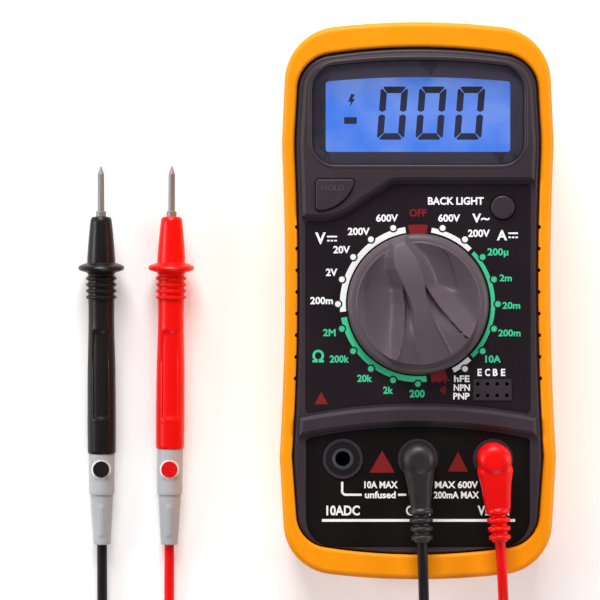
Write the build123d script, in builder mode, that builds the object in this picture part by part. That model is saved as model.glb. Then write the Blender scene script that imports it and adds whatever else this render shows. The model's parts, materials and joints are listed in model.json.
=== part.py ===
"""Hand-held digital multimeter in a rubber holster, with its pair of test leads.

The meter lies on its back. +X is to the reader's right, +Y towards the display and +Z out of the face.
The origin is the middle of the holster's back, so Z = 0 is the surface that the meter lies on.
All sizes are in millimetres.
"""

import os
from math import atan2, cos, degrees, radians, sin, tan

from build123d import *

# ---------------------------------------------------------------- driving dimensions
# holster outline, half widths measured from the centre line
body_length = 150.0
shoulder_half, shoulder_y = 36.6, 42.0
waist_half, waist_y = 35.7, 6.0
hip_half, hip_y = 37.2, -42.0
crown_half, heel_half = 35.3, 35.5
end_bow = 3.2  # how far the middle of an end stands out past its corners
top_corner, bottom_corner, side_blend = 15.0, 14.0, 60.0

# heights
back_wall = 3.2  # holster back, which the stand folds into
case_back_z = 3.5
parting_z = 22.0
ceiling_z = 35.0  # inside of the front case
ledge_z = 35.5  # the holster's lip rests on this ledge of the front case
dial_z = 38.0
bezel_z = 40.0
panel_z = 36.8  # floor of the jack panel
lip_top_z = 38.6
knob_top_z = 47.2

# insets from the holster's outline, at the sides and at the ends
cavity_side, cavity_end = 2.1, 4.3
case_side, case_end = 2.4, 4.6
lip_side, lip_end = 3.3, 6.7
face_gap = 0.3
raised_inset, raised_slope = 1.3, 0.9  # the raised sections of the face stand in from its edge
wall = 2.2
lip_clearance = 0.3
plate_clearance = 0.1

# display
window_half, window_low_y, window_top_y, window_bow = 28.3, 36.7, 64.6, 2.2
window_corner = 6.0
view_half, view_low_y, view_top_y, view_bow = 24.8, 40.0, 60.1, 1.2
mask_thickness, lens_thickness, lens_sink = 0.4, 1.1, 0.3
lcd_length, lcd_width, lcd_thickness = 54.0, 24.6, 2.0
lcd_y = 49.7
holder_wall = 1.2
light_length, light_width, light_thickness = 50.0, 20.4, 2.6
light_y = 50.1
led_length = 1.5
zebra_length, zebra_width = 48.0, 1.8

# circuit board
board_top_z, board_thickness = 28.4, 1.6
board_half, board_low_y, board_top_y, board_corner = 29.6, -61.0, 63.6, 8.0
post_radius, post_screw_radius = 2.4, 0.95
post_places = [(-26.0, 14.0), (26.0, 14.0), (-26.4, -31.0), (27.0, -33.5)]

# what the board carries on its back
blob_place, blob_radius, blob_height = (4.0, 6.0), 6.5, 2.2
resistor_places = [(-8.0 + 4.2 * i, -9.0) for i in range(6)]
resistor_radius, resistor_length = 1.15, 6.4
# x, y, radius and height of each capacitor
capacitor_sizes = [(22.0, -8.0, 3.1, 9.0), (22.0, 1.5, 2.5, 7.5), (-13.0, 4.0, 2.0, 6.0)]
buzzer_place, buzzer_radius, buzzer_height, buzzer_hole = (-20.0, -9.0), 6.0, 6.5, 1.0
fuse_y, fuse_z, fuse_radius, fuse_length = -25.0, 21.6, 2.6, 20.0
fuse_cap_length, clip_wall, clip_width, clip_foot = 5.0, 0.5, 3.6, 3.2
shunt_y, shunt_left_x, shunt_right_x, shunt_low_z, shunt_radius = -51.0, -16.0, -4.0, 21.0, 0.8

# rotary switch
dial_y = -0.9
knob_radius = 18.9
knob_lift = 0.4  # running gap between the knob and the dial
positions = 20
rest_turn = 18.0  # the pointer rests one position to the left of straight up
hub_radius, hub_clearance = 8.0, 0.08
rim_width, rim_top_z = 1.3, 40.4  # the bowls stop short of the rim
blade_tip_half, blade_mid_half, tail_half = 2.0, 2.7, 7.4
bowl_radius, bowl_side, bowl_low_z = 15.0, 10.6, 41.0
flute_width, flute_depth, flute_lean = 1.5, 1.1, 16.0
carrier_radius, carrier_low_z, carrier_top_z = 16.2, 30.2, 34.2
detent_radius, detent_out_radius, detent_low_z = 17.6, 20.2, 31.0
ball_radius, ball_z = 1.25, 32.5
spring_radius, spring_wire, spring_length, spring_turns = 0.8, 0.3, 5.0, 6
wiper_radii, wiper_width = (7.0, 10.0, 13.0), 1.4

# push buttons
button_gap = 0.25
button_travel = 0.8
button_rise = 0.7
light_button_radius, light_button_x, light_button_y = 3.2, 22.8, 25.1
hold_x, hold_y = -24.0, 28.9  # where the plunger of the hold button stands
flange_overlap, flange_thickness = 1.0, 1.2
plunger_radius, switch_side, switch_height, switch_cap = 1.7, 6.0, 2.6, 0.6

# sockets
jack_pitch, jack_y = 20.2, -42.5
jack_bore, jack_radius = 2.05, 2.9
jack_low_z, jack_top_z = 20.0, 37.0
sleeve_radius, collar_radius = 4.6, 5.4
sleeve_low_z, collar_top_z = 29.0, 37.6
plate_thickness = 0.4
socket_x, socket_y, socket_length, socket_width = 20.0, -23.9, 10.4, 5.8
socket_pitch, socket_row, socket_hole = 2.6, 3.1, 0.5

# screws
boss_radius, tower_radius, screw_radius, screw_clearance = 2.6, 4.0, 1.25, 0.35
boss_places = [(0.0, 66.6), (-28.2, -59.0), (28.2, -59.0)]
head_radius, head_height, head_seat_z = 2.4, 1.7, 16.0
cross_length, cross_width = 3.2, 0.8

# battery and its compartment
battery_length, battery_width, battery_thickness = 48.5, 26.5, 17.5
battery_x, battery_y, battery_low_z = -3.6, 38.0, 6.4
door_x, door_gap = -1.5, 0.25
door_length, door_width = battery_length + 5.5, battery_width + 3.5  # room round the battery
tab_length, tab_width = 10.0, 6.0
compartment_wall, compartment_top_z = 1.4, 25.6
snap_thickness, snap_width, snap_height = 3.0, 22.0, 13.0
wire_radius, wire_z, wire_places = 0.6, 18.0, (4.6, 7.4)

# holster openings and the tilt stand
back_window_length, back_window_width, back_window_y = 58.0, 41.0, 41.0
stand_half, stand_gap = 21.0, 0.6
stand_hinge_y, stand_low_y = 10.0, -54.0
stand_thickness, barrel_radius, hinge_pin_radius = 2.4, 1.45, 0.8
stand_leg, stand_foot, stand_rail = 8.5, 10.0, 8.0  # width of the stand's legs, foot and hinged rail
scoop_radius, scoop_depth = 5.0, 1.0
grip_notches, grip_pitch, grip_y, grip_radius = 8, 5.82, -0.55, 0.55

# test leads
cord_diameter = 2.8
plug_axis_z, plug_head_radius, plug_reach, plug_top_z = 44.5, 4.5, 22.0, 49.0
plug_pin_radius, plug_pin_length = 1.95, 17.0
arm_length, arm_wide, arm_narrow = 12.5, 7.4, 5.4
relief_radius, relief_ribs, rib_radius, rib_pitch, rib_width = 2.3, 4, 3.2, 2.3, 1.3
probe_length, collar_length = 105.5, 26.2  # whole probe, and the grey collar at its tail
guard_place, guard_edge, guard_radius = 77.6, 1.6, 6.5  # place of the finger guard from the tail end
needle_length, needle_radius, needle_root, needle_point = 14.2, 0.93, 1.4, 0.15
probe_radius, waist_radius, waist_place, grip_place = 3.95, 3.6, 60.0, 68.8
ring_radius, ring_width, ring_pitch = 4.25, 1.0, 1.85
nose_radius, nose_place, nose_root = 2.8, 80.9, 3.5
tail_radius, tail_end_radius, tail_taper = 3.6, 2.4, 14.2
coil_radius, coil_section, coil_height, tie_thickness, tie_width = 15.5, 8.0, 8.8, 0.6, 3.6
coil_y, coil_stub, first_run = -145.0, 14.5, 23.5
dot_radius, dot_place_up, dot_depth = 2.25, 21.3, 0.4
tail_y, tail_z = -68.0, 2.75

# a solid stands on its place, or hangs from it
FOOT = (Align.CENTER, Align.CENTER, Align.MIN)
HUNG = (Align.CENTER, Align.CENTER, Align.MAX)

os.makedirs("parts", exist_ok=True)


def save(part, name):
    """Labels a finished piece and writes it as its own STEP file."""
    part.label = name
    export_step(part, f"parts/{name}.step")


# ---------------------------------------------------------------- shared outlines
def outline(side, end):
    """The body's outline drawn in by side along its flanks and by end at its top and bottom."""
    reach = body_length / 2 - end
    corner_y = reach - end_bow
    hip, waist, shoulder = hip_half - side, waist_half - side, shoulder_half - side
    crown, heel = crown_half - side, heel_half - side
    with BuildSketch() as shape:
        with BuildLine():
            ThreePointArc((hip, hip_y), (waist, waist_y), (shoulder, shoulder_y))
            Line((shoulder, shoulder_y), (crown, corner_y))
            ThreePointArc((crown, corner_y), (0, reach), (-crown, corner_y))
            Line((-crown, corner_y), (-shoulder, shoulder_y))
            ThreePointArc((-shoulder, shoulder_y), (-waist, waist_y), (-hip, hip_y))
            Line((-hip, hip_y), (-heel, -corner_y))
            ThreePointArc((-heel, -corner_y), (0, -reach), (heel, -corner_y))
            Line((heel, -corner_y), (hip, hip_y))
        make_face()
        drawn_in = (side + end) / 2
        fillet(shape.vertices().group_by(Axis.Y)[-1], top_corner - drawn_in)
        fillet(shape.vertices().group_by(Axis.Y)[0], bottom_corner - drawn_in)
        fillet(shape.vertices().filter_by(lambda v: v.Y in (shoulder_y, hip_y)), side_blend)
    return shape.sketch


def bowed_window(half, low, top, bow, corner):
    """A display outline: straight sides and foot, with a bowed top edge."""
    with BuildSketch() as shape:
        with BuildLine():
            foot = Line((-half, low), (half, low))
            right = Line(foot @ 1, (half, top - bow))
            ThreePointArc(right @ 1, (0, top), (-half, top - bow))
            Line((-half, top - bow), (-half, low))
        make_face()
        fillet(shape.vertices(), corner)
    return shape.sketch


def window(grow):
    """The display recess's outline, grown by grow all round."""
    return bowed_window(
        window_half + grow, window_low_y - grow, window_top_y + grow, window_bow, window_corner + grow
    )


def view(grow):
    """The part of the display that shows, grown by grow all round."""
    return bowed_window(view_half + grow, view_low_y - grow, view_top_y + grow, view_bow, 0.8)


def display_field(grow=0.0):
    """All that lies above the swept step between the display section and the dial."""
    edge = shoulder_half + 2
    low = 32.3 - grow
    with BuildSketch() as shape:
        with BuildLine():
            sweep_line = Spline(
                (-edge, 25.6 - grow), (-26.8, 22.2 - grow), (-20.1, 23.6 - grow),
                (-14.0 + grow / 2, 27.6 - grow), (-8.8 + grow / 2, 30.9 - grow), (-2.5, low),
                tangents=((1, -0.5), (1, 0)),
            )
            Polyline(sweep_line @ 1, (edge, low), (edge, 80), (-edge, 80), sweep_line @ 0)
        make_face()
    return shape.sketch


def band_field(grow=0.0):
    """The arched ridge between the dial and the jack panel."""
    edge = hip_half + 2
    with BuildSketch() as shape:
        with BuildLine():
            upper = ThreePointArc((-edge, -33.2 + grow), (0, -28.3 + grow), (edge, -33.2 + grow))
            side = Line(upper @ 1, (edge, -38.0 - grow))
            ThreePointArc(side @ 1, (0, -33.1 - grow), (-edge, -38.0 - grow))
            Line((-edge, -38.0 - grow), (-edge, -33.2 + grow))
        make_face()
    return shape.sketch


def hold_outline(grow):
    """The hold button: a rounded quarter shape."""
    with BuildSketch() as shape:
        with BuildLine():
            top = Line((-27.5 - grow, 32.6 + grow), (-16.9 + grow, 32.6 + grow))
            sweep_line = ThreePointArc(top @ 1, (-19.4 + 0.8 * grow, 27.6 - 0.8 * grow), (-25.9, 24.2 - grow))
            Polyline(sweep_line @ 1, (-27.5 - grow, 24.2 - grow), top @ 0)
        make_face()
        fillet(shape.vertices(), 0.9 + grow)
    return shape.sketch


def dial_field(grow):
    """The printed plate round the rotary switch."""
    above, below = display_field(0.9 - grow), band_field(0.8 - grow)
    with BuildSketch() as shape:
        with Locations((0, 1)):
            Rectangle(60.4 + 2 * grow, 68)
        add(above, mode=Mode.SUBTRACT)
        add(below, mode=Mode.SUBTRACT)
        fillet([v for v in shape.vertices() if abs(v.X) > 20], 1.2)
    return shape.sketch


def panel_field(grow):
    """The sunk plate round the input sockets."""
    with BuildSketch() as shape:
        with BuildLine():
            upper = ThreePointArc((-30 - grow, -37.1 + grow), (0, -33.9 + grow), (30 + grow, -37.1 + grow))
            Polyline(upper @ 1, (30 + grow, -66.2 - grow), (-30 - grow, -66.2 - grow), upper @ 0)
        make_face()
        fillet(shape.vertices().group_by(Axis.Y)[0], 7.5 + grow)
        fillet(shape.vertices().group_by(Axis.Y)[-1], 1.2 + grow)
    return shape.sketch


battery_end = battery_x + battery_length / 2
snap_back = battery_end + snap_thickness
wire_x = snap_back + 1.2
jack_places = [(x, jack_y) for x in (-jack_pitch, 0, jack_pitch)]
grip_places = [grip_y + grip_pitch * (i - (grip_notches - 1) / 2) for i in range(grip_notches)]


def flank_at(y):
    """Half the holster's width at height y, on the long waist arc."""
    share = (y - waist_y) / (shoulder_y - waist_y if y > waist_y else hip_y - waist_y)
    wide = shoulder_half if y > waist_y else hip_half
    return waist_half + (wide - waist_half) * share * share


# every outline the pieces share, worked out once
lens_shape, lens_recess = window(0), window(plate_clearance)
view_shape, view_opening = view(0), view(0.6)
display_step, band_step = display_field(), band_field()
dial_shape, dial_recess = dial_field(0), dial_field(plate_clearance)
panel_shape, panel_recess = panel_field(0), panel_field(plate_clearance)
hold_shape, hold_opening = hold_outline(0), hold_outline(button_gap)
hold_flange = hold_outline(flange_overlap)
holster_skin, cavity_skin = outline(0, 0), outline(cavity_side, cavity_end)
lip_skin = outline(lip_side, lip_end)

# ---------------------------------------------------------------- holster and stand
with BuildPart() as holster:
    with BuildSketch():
        add(holster_skin)
    extrude(amount=lip_top_z)
    fillet(holster.faces().sort_by(Axis.Z)[0].edges(), 3.6)
    fillet(holster.faces().sort_by(Axis.Z)[-1].edges(), 1.6)
    with BuildSketch(Plane.XY.offset(back_wall)):
        add(cavity_skin)
    extrude(amount=ledge_z + lip_clearance - back_wall, mode=Mode.SUBTRACT)
    with BuildSketch(Plane.XY.offset(ledge_z)):
        add(lip_skin)
    extrude(amount=lip_top_z, mode=Mode.SUBTRACT)
    lip_edges = holster.faces().sort_by(Axis.Z)[-1].inner_wires()[0].edges()
    fillet(lip_edges, 0.9)
    # grip notches along both flanks of the lip
    with BuildSketch(Plane.XY.offset(ledge_z)):
        for y in grip_places:
            with Locations((flank_at(y) - lip_side, y), (lip_side - flank_at(y), y)):
                Circle(grip_radius)
    extrude(amount=lip_top_z, mode=Mode.SUBTRACT)
    # window over the battery door
    with BuildSketch():
        with Locations((door_x, back_window_y)):
            RectangleRounded(back_window_length, back_window_width, 4)
    extrude(amount=back_wall, mode=Mode.SUBTRACT)
    # bay that the stand folds into
    with BuildSketch():
        with Locations((0, (stand_hinge_y + barrel_radius + stand_low_y) / 2)):
            RectangleRounded(
                2 * (stand_half + stand_gap),
                stand_hinge_y + barrel_radius - stand_low_y + 2 * stand_gap,
                2.0,
            )
    extrude(amount=back_wall, mode=Mode.SUBTRACT)
    # bearings for the stand's pin, in the back wall beside the bay
    with Locations(Plane.YZ * Pos(stand_hinge_y, back_wall / 2, 0)):
        Cylinder(hinge_pin_radius + 0.05, 2 * (stand_half + 5), mode=Mode.SUBTRACT)
save(holster.part, "holster")

with BuildPart() as stand:
    with BuildSketch(Plane.XY.offset((back_wall - stand_thickness) / 2)):
        with Locations((0, (stand_hinge_y + stand_low_y) / 2)):
            RectangleRounded(2 * stand_half, stand_hinge_y - stand_low_y, 3.5)
        with Locations((0, (stand_hinge_y - stand_rail + stand_low_y + stand_foot) / 2)):
            RectangleRounded(
                2 * (stand_half - stand_leg), stand_hinge_y - stand_low_y - stand_rail - stand_foot, 3,
                mode=Mode.SUBTRACT,
            )
    extrude(amount=stand_thickness)
    with Locations(Plane.YZ * Pos(stand_hinge_y, back_wall / 2, 0)):
        Cylinder(barrel_radius, 2 * stand_half)
    # thumb scoop at the free end
    with Locations((0, stand_low_y, (back_wall - stand_thickness) / 2)):
        Cylinder(scoop_radius, scoop_depth, align=FOOT, mode=Mode.SUBTRACT)
    with Locations(Plane.YZ * Pos(stand_hinge_y, back_wall / 2, 0)):
        Cylinder(hinge_pin_radius + 0.05, 2 * stand_half, mode=Mode.SUBTRACT)
save(stand.part, "tilt_stand")

with BuildPart() as stand_pin:
    with Locations(Plane.YZ * Pos(stand_hinge_y, back_wall / 2, 0)):
        Cylinder(hinge_pin_radius, 2 * (stand_half + 4.6))
    chamfer(stand_pin.edges().filter_by(GeomType.CIRCLE), 0.2)
save(stand_pin.part, "stand_hinge_pin")

# ---------------------------------------------------------------- case
lens_floor_z = bezel_z - lens_sink - lens_thickness - mask_thickness
rear_skin = outline(case_side, case_end)
front_skin = outline(lip_side + face_gap, lip_end + face_gap)
raised_skin = outline(lip_side + face_gap + raised_inset, lip_end + face_gap + raised_inset)
inner_skin = outline(case_side + wall, case_end + wall)
tower_skin = outline(case_side + 0.4, case_end + 0.4)

with BuildPart() as front_case:
    with BuildSketch(Plane.XY.offset(parting_z)):
        add(rear_skin)
    extrude(amount=ledge_z - parting_z)
    with BuildSketch(Plane.XY.offset(ledge_z)):
        add(front_skin)
    extrude(amount=dial_z - ledge_z)
    fillet(front_case.faces().sort_by(Axis.Z)[-1].edges(), 1.2)
    # the display section and the arched band stand proud of the dial
    for field in (display_step, band_step):
        with BuildSketch(Plane.XY.offset(dial_z)):
            add(raised_skin)
            add(field, mode=Mode.INTERSECT)
        extrude(amount=bezel_z - dial_z)
    top_edges = front_case.faces().filter_by(Axis.Z).group_by(Axis.Z)[-1].edges()
    chamfer(top_edges, raised_slope)
    with BuildSketch(Plane.XY.offset(parting_z)):
        add(inner_skin)
    extrude(amount=ceiling_z - parting_z, mode=Mode.SUBTRACT)
    # display recess and the opening behind it
    with BuildSketch(Plane.XY.offset(lens_floor_z)):
        add(lens_recess)
    extrude(amount=5, mode=Mode.SUBTRACT)
    with BuildSketch(Plane.XY.offset(ceiling_z)):
        add(view_opening)
    extrude(amount=6, mode=Mode.SUBTRACT)
    # recesses for the dial plate and the jack plate
    with BuildSketch(Plane.XY.offset(dial_z - plate_thickness)):
        add(dial_recess)
    extrude(amount=2, mode=Mode.SUBTRACT)
    with BuildSketch(Plane.XY.offset(panel_z)):
        add(panel_recess)
    extrude(amount=3, mode=Mode.SUBTRACT)
    # collars and bores of the sockets
    with BuildSketch(Plane.XY.offset(panel_z - 0.5)):
        with Locations(jack_places):
            Circle(collar_radius)
    extrude(amount=collar_top_z - panel_z + 0.5)
    with BuildSketch(Plane.XY.offset(ceiling_z - 1)):
        with Locations(jack_places):
            Circle(sleeve_radius)
    extrude(amount=6, mode=Mode.SUBTRACT)
    # detent ring round the switch, with its notches
    with BuildSketch(Plane.XY.offset(detent_low_z)):
        with Locations((0, dial_y)):
            Circle(detent_out_radius)
            Circle(detent_radius, mode=Mode.SUBTRACT)
            with PolarLocations(detent_radius + 0.45, positions, start_angle=90 + rest_turn):
                Circle(ball_radius, mode=Mode.SUBTRACT)
    extrude(amount=ceiling_z - detent_low_z)
    # posts for the board and bosses for the case screws
    with BuildSketch(Plane.XY.offset(board_top_z)):
        with Locations(post_places):
            Circle(post_radius)
            Circle(post_screw_radius + 0.02, mode=Mode.SUBTRACT)
    extrude(amount=ceiling_z - board_top_z)
    with BuildSketch(Plane.XY.offset(parting_z)):
        with Locations(boss_places):
            Circle(boss_radius)
        add(front_skin, mode=Mode.INTERSECT)
    extrude(amount=ceiling_z - parting_z)
    with BuildSketch(Plane.XY.offset(parting_z)):
        with Locations(boss_places):
            Circle(screw_radius + 0.02)
    extrude(amount=10, mode=Mode.SUBTRACT)
    # openings for the switch hub, both buttons and the transistor socket
    with BuildSketch(Plane.XY.offset(ceiling_z)):
        with Locations((0, dial_y)):
            Circle(hub_radius + hub_clearance)
        with Locations((light_button_x, light_button_y)):
            Circle(light_button_radius + button_gap)
        add(hold_opening)
        with Locations((socket_x, socket_y)):
            Rectangle(socket_length + 0.2, socket_width + 0.2)
    extrude(amount=6, mode=Mode.SUBTRACT)
save(front_case.part, "front_case")

with BuildPart() as rear_case:
    with BuildSketch(Plane.XY.offset(case_back_z)):
        add(rear_skin)
    extrude(amount=parting_z - case_back_z)
    fillet(rear_case.faces().sort_by(Axis.Z)[0].edges(), 2.4)
    with BuildSketch(Plane.XY.offset(case_back_z + wall)):
        add(inner_skin)
    extrude(amount=parting_z, mode=Mode.SUBTRACT)
    # battery compartment with a closed top
    inside_length, inside_width = door_length + 2 * door_gap, door_width + 2 * door_gap
    with BuildSketch(Plane.XY.offset(case_back_z + wall)):
        with Locations((door_x, battery_y)):
            Rectangle(inside_length + 2 * compartment_wall, inside_width + 2 * compartment_wall)
    extrude(amount=compartment_top_z - case_back_z - wall)
    with BuildSketch(Plane.XY.offset(case_back_z)):
        with Locations((door_x, battery_y)):
            Rectangle(inside_length, inside_width)
    extrude(amount=compartment_top_z - case_back_z - compartment_wall, mode=Mode.SUBTRACT)
    # pad and boss behind the door's screw tab
    tab_y = battery_y + door_width / 2 + tab_width / 2
    with BuildSketch(Plane.XY.offset(case_back_z + wall - 0.5)):
        with Locations((door_x, tab_y + 0.9)):
            Rectangle(tab_length + 3, tab_width + 1.0)
    extrude(amount=7)
    with BuildSketch(Plane.XY.offset(case_back_z)):
        with Locations((door_x, tab_y)):
            Rectangle(tab_length + 2 * door_gap, tab_width + 2 * door_gap)
    extrude(amount=wall, mode=Mode.SUBTRACT)
    with Locations((door_x, tab_y, case_back_z)):
        Cylinder(screw_radius + 0.02, 7.5, align=FOOT, mode=Mode.SUBTRACT)
    # hole for the battery wires
    with Locations((wire_x - 0.2, battery_y + 6, compartment_top_z)):
        Box(2.6, 7, 6, mode=Mode.SUBTRACT)
    # screw towers
    with BuildSketch(Plane.XY.offset(case_back_z + wall - 0.5)):
        with Locations(boss_places):
            Circle(tower_radius)
        add(tower_skin, mode=Mode.INTERSECT)
    extrude(amount=parting_z - case_back_z - wall + 0.5)
    for x, y in boss_places:
        with Locations((x, y, case_back_z)):
            Cylinder(screw_radius + screw_clearance, 40, mode=Mode.SUBTRACT)
            Cylinder(head_radius + screw_clearance, head_seat_z - case_back_z, align=FOOT, mode=Mode.SUBTRACT)
save(rear_case.part, "rear_case")

with BuildPart() as case_screws:
    for x, y in boss_places:
        with Locations((x, y, head_seat_z - head_height)):
            Cylinder(head_radius, head_height, align=FOOT)
            Cylinder(screw_radius, head_height + 13, align=FOOT)
            Box(cross_length, cross_width, 1.6, mode=Mode.SUBTRACT)
            Box(cross_width, cross_length, 1.6, mode=Mode.SUBTRACT)
save(case_screws.part, "case_screws")

with BuildPart() as battery_door:
    with BuildSketch(Plane.XY.offset(case_back_z)):
        with Locations((door_x, battery_y)):
            Rectangle(door_length, door_width)
        with Locations((door_x, tab_y - 0.5)):
            Rectangle(tab_length, tab_width + 1)
    extrude(amount=wall)
    # grip ribs
    with BuildSketch(Plane.XY.offset(case_back_z)):
        with Locations((door_x, battery_y - 6)):
            with GridLocations(0, 3, 1, 5):
                SlotOverall(20, 1.2)
    extrude(amount=0.5, mode=Mode.SUBTRACT)
    with Locations((door_x, tab_y, case_back_z)):
        Cylinder(screw_radius + 0.1, 12, mode=Mode.SUBTRACT)
        Cylinder(head_radius + 0.1, 1.2, align=FOOT, mode=Mode.SUBTRACT)
save(battery_door.part, "battery_door")

with BuildPart() as door_screw:
    with Locations((door_x, tab_y, case_back_z + 0.1)):
        Cylinder(head_radius, 1.1, align=FOOT)
        Cylinder(screw_radius, 6.6, align=FOOT)
        Box(cross_length, cross_width, 1.0, mode=Mode.SUBTRACT)
        Box(cross_width, cross_length, 1.0, mode=Mode.SUBTRACT)
save(door_screw.part, "battery_door_screw")

# ---------------------------------------------------------------- battery
with BuildPart() as battery:
    with Locations((battery_x, battery_y, battery_low_z + battery_thickness / 2)):
        Box(battery_length, battery_width, battery_thickness)
    fillet(battery.edges().filter_by(Axis.X), 1.6)
save(battery.part, "battery")

with BuildPart() as battery_snap:
    with Locations((battery_end + snap_thickness / 2, battery_y, battery_low_z + battery_thickness / 2)):
        Box(snap_thickness, snap_width, snap_height)
    fillet(battery_snap.edges().filter_by(Axis.X), 2.5)
save(battery_snap.part, "battery_snap")

with BuildPart() as battery_wires:
    for place in wire_places:
        y = battery_y + place
        with BuildLine():
            FilletPolyline(
                (snap_back, y, wire_z), (wire_x, y, wire_z), (wire_x, y, board_top_z - board_thickness),
                radius=1.5 * wire_radius,
            )
        with BuildSketch(Plane(origin=(snap_back, y, wire_z), z_dir=(1, 0, 0))):
            Circle(wire_radius)
        sweep()
save(battery_wires.part, "battery_wires")

# ---------------------------------------------------------------- display
with BuildPart() as display_mask:
    with BuildSketch(Plane.XY.offset(lens_floor_z)):
        add(lens_shape)
        add(view_shape, mode=Mode.SUBTRACT)
    extrude(amount=mask_thickness)
save(display_mask.part, "display_mask")

with BuildPart() as display_window:
    with BuildSketch(Plane.XY.offset(lens_floor_z + mask_thickness)):
        add(lens_shape)
    extrude(amount=lens_thickness)
    chamfer(display_window.faces().sort_by(Axis.Z)[-1].edges(), 0.25)
save(display_window.part, "display_window")

with BuildPart() as lcd_glass:
    with Locations((0, lcd_y, ceiling_z - lcd_thickness / 2)):
        Box(lcd_length, lcd_width, lcd_thickness)
    # the lower sheet reaches past the upper one, where the contacts are
    with Locations((0, lcd_y + lcd_width / 2, ceiling_z)):
        Box(lcd_length, 1.6, lcd_thickness, mode=Mode.SUBTRACT)
save(lcd_glass.part, "lcd_glass")

zebra_y = lcd_y - lcd_width / 2 + zebra_width / 2 + 0.1
glass_low_z = ceiling_z - lcd_thickness
with BuildPart() as lcd_holder:
    with BuildSketch(Plane.XY.offset(board_top_z)):
        with Locations((0, lcd_y)):
            RectangleRounded(lcd_length + 2 * holder_wall, lcd_width + 2 * holder_wall, 2.4)
    extrude(amount=ceiling_z - board_top_z)
    with BuildSketch(Plane.XY.offset(glass_low_z)):
        with Locations((0, lcd_y)):
            Rectangle(lcd_length, lcd_width)
    extrude(amount=lcd_thickness, mode=Mode.SUBTRACT)
    with BuildSketch(Plane.XY.offset(glass_low_z - light_thickness)):
        with Locations((0, light_y)):
            Rectangle(light_length + 2 * led_length, light_width)
    extrude(amount=light_thickness, mode=Mode.SUBTRACT)
    with BuildSketch(Plane.XY.offset(board_top_z)):
        with Locations((0, zebra_y)):
            Rectangle(zebra_length, zebra_width)
    extrude(amount=glass_low_z - board_top_z, mode=Mode.SUBTRACT)
save(lcd_holder.part, "lcd_holder")

with BuildPart() as zebra_strip:
    with BuildSketch(Plane.XY.offset(board_top_z)):
        with Locations((0, zebra_y)):
            Rectangle(zebra_length, zebra_width)
    extrude(amount=glass_low_z - board_top_z)
save(zebra_strip.part, "zebra_strip")

with BuildPart() as backlight_panel:
    with Locations((0, light_y, glass_low_z - light_thickness / 2)):
        Box(light_length, light_width, light_thickness)
save(backlight_panel.part, "backlight_panel")

with BuildPart() as backlight_leds:
    for side in (-1, 1):
        with Locations((side * (light_length + led_length) / 2, light_y, glass_low_z - light_thickness / 2)):
            Box(led_length, 6, light_thickness)
save(backlight_leds.part, "backlight_leds")

# ---------------------------------------------------------------- circuit board and what it carries
board_low_z = board_top_z - board_thickness
with BuildPart() as main_pcb:
    with BuildSketch(Plane.XY.offset(board_low_z)):
        with Locations((0, (board_low_y + board_top_y) / 2)):
            RectangleRounded(2 * board_half, board_top_y - board_low_y, board_corner)
        with Locations(boss_places):
            Circle(boss_radius + 0.5, mode=Mode.SUBTRACT)
        with Locations(jack_places):
            Circle(jack_radius + 0.05, mode=Mode.SUBTRACT)
        with Locations(post_places):
            Circle(post_screw_radius + 0.15, mode=Mode.SUBTRACT)
    extrude(amount=board_thickness)
save(main_pcb.part, "main_pcb")

with BuildPart() as pcb_screws:
    for x, y in post_places:
        with Locations((x, y, board_low_z - 1.2)):
            Cylinder(2 * post_screw_radius, 1.2, align=FOOT)
            Cylinder(post_screw_radius, 6.2, align=FOOT)
            Box(0.75 * cross_length, 0.6 * cross_width, 1.0, mode=Mode.SUBTRACT)
            Box(0.6 * cross_width, 0.75 * cross_length, 1.0, mode=Mode.SUBTRACT)
save(pcb_screws.part, "pcb_screws")

with BuildPart() as chip_blob:
    with BuildSketch(Plane.XY.offset(board_low_z - blob_height)):
        with Locations(blob_place):
            Circle(blob_radius)
    extrude(amount=blob_height)
    fillet(chip_blob.faces().sort_by(Axis.Z)[0].edges(), 0.8 * blob_height)
save(chip_blob.part, "chip_blob")

with BuildPart() as resistors:
    for x, y in resistor_places:
        with Locations(Plane.XZ * Pos(x, board_low_z - resistor_radius, -y)):
            Cylinder(resistor_radius, resistor_length)
    fillet(resistors.edges().filter_by(GeomType.CIRCLE), 0.4)
save(resistors.part, "resistors")

with BuildPart() as capacitors:
    for x, y, radius, tall in capacitor_sizes:
        with Locations((x, y, board_low_z)):
            Cylinder(radius, tall, align=HUNG)
save(capacitors.part, "capacitors")

with BuildPart() as buzzer:
    with Locations((*buzzer_place, board_low_z)):
        Cylinder(buzzer_radius, buzzer_height, align=HUNG)
        Cylinder(buzzer_hole, 2 * buzzer_height, mode=Mode.SUBTRACT)
save(buzzer.part, "buzzer")

with BuildPart() as fuse_tube:
    with Locations(Plane.YZ * Pos(fuse_y, fuse_z, 0)):
        Cylinder(fuse_radius - 0.2, fuse_length - 2 * fuse_cap_length)
save(fuse_tube.part, "fuse_tube")

with BuildPart() as fuse_caps:
    for side in (-1, 1):
        with Locations(Plane.YZ * Pos(fuse_y, fuse_z, side * (fuse_length - fuse_cap_length) / 2)):
            Cylinder(fuse_radius, fuse_cap_length)
save(fuse_caps.part, "fuse_caps")

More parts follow.
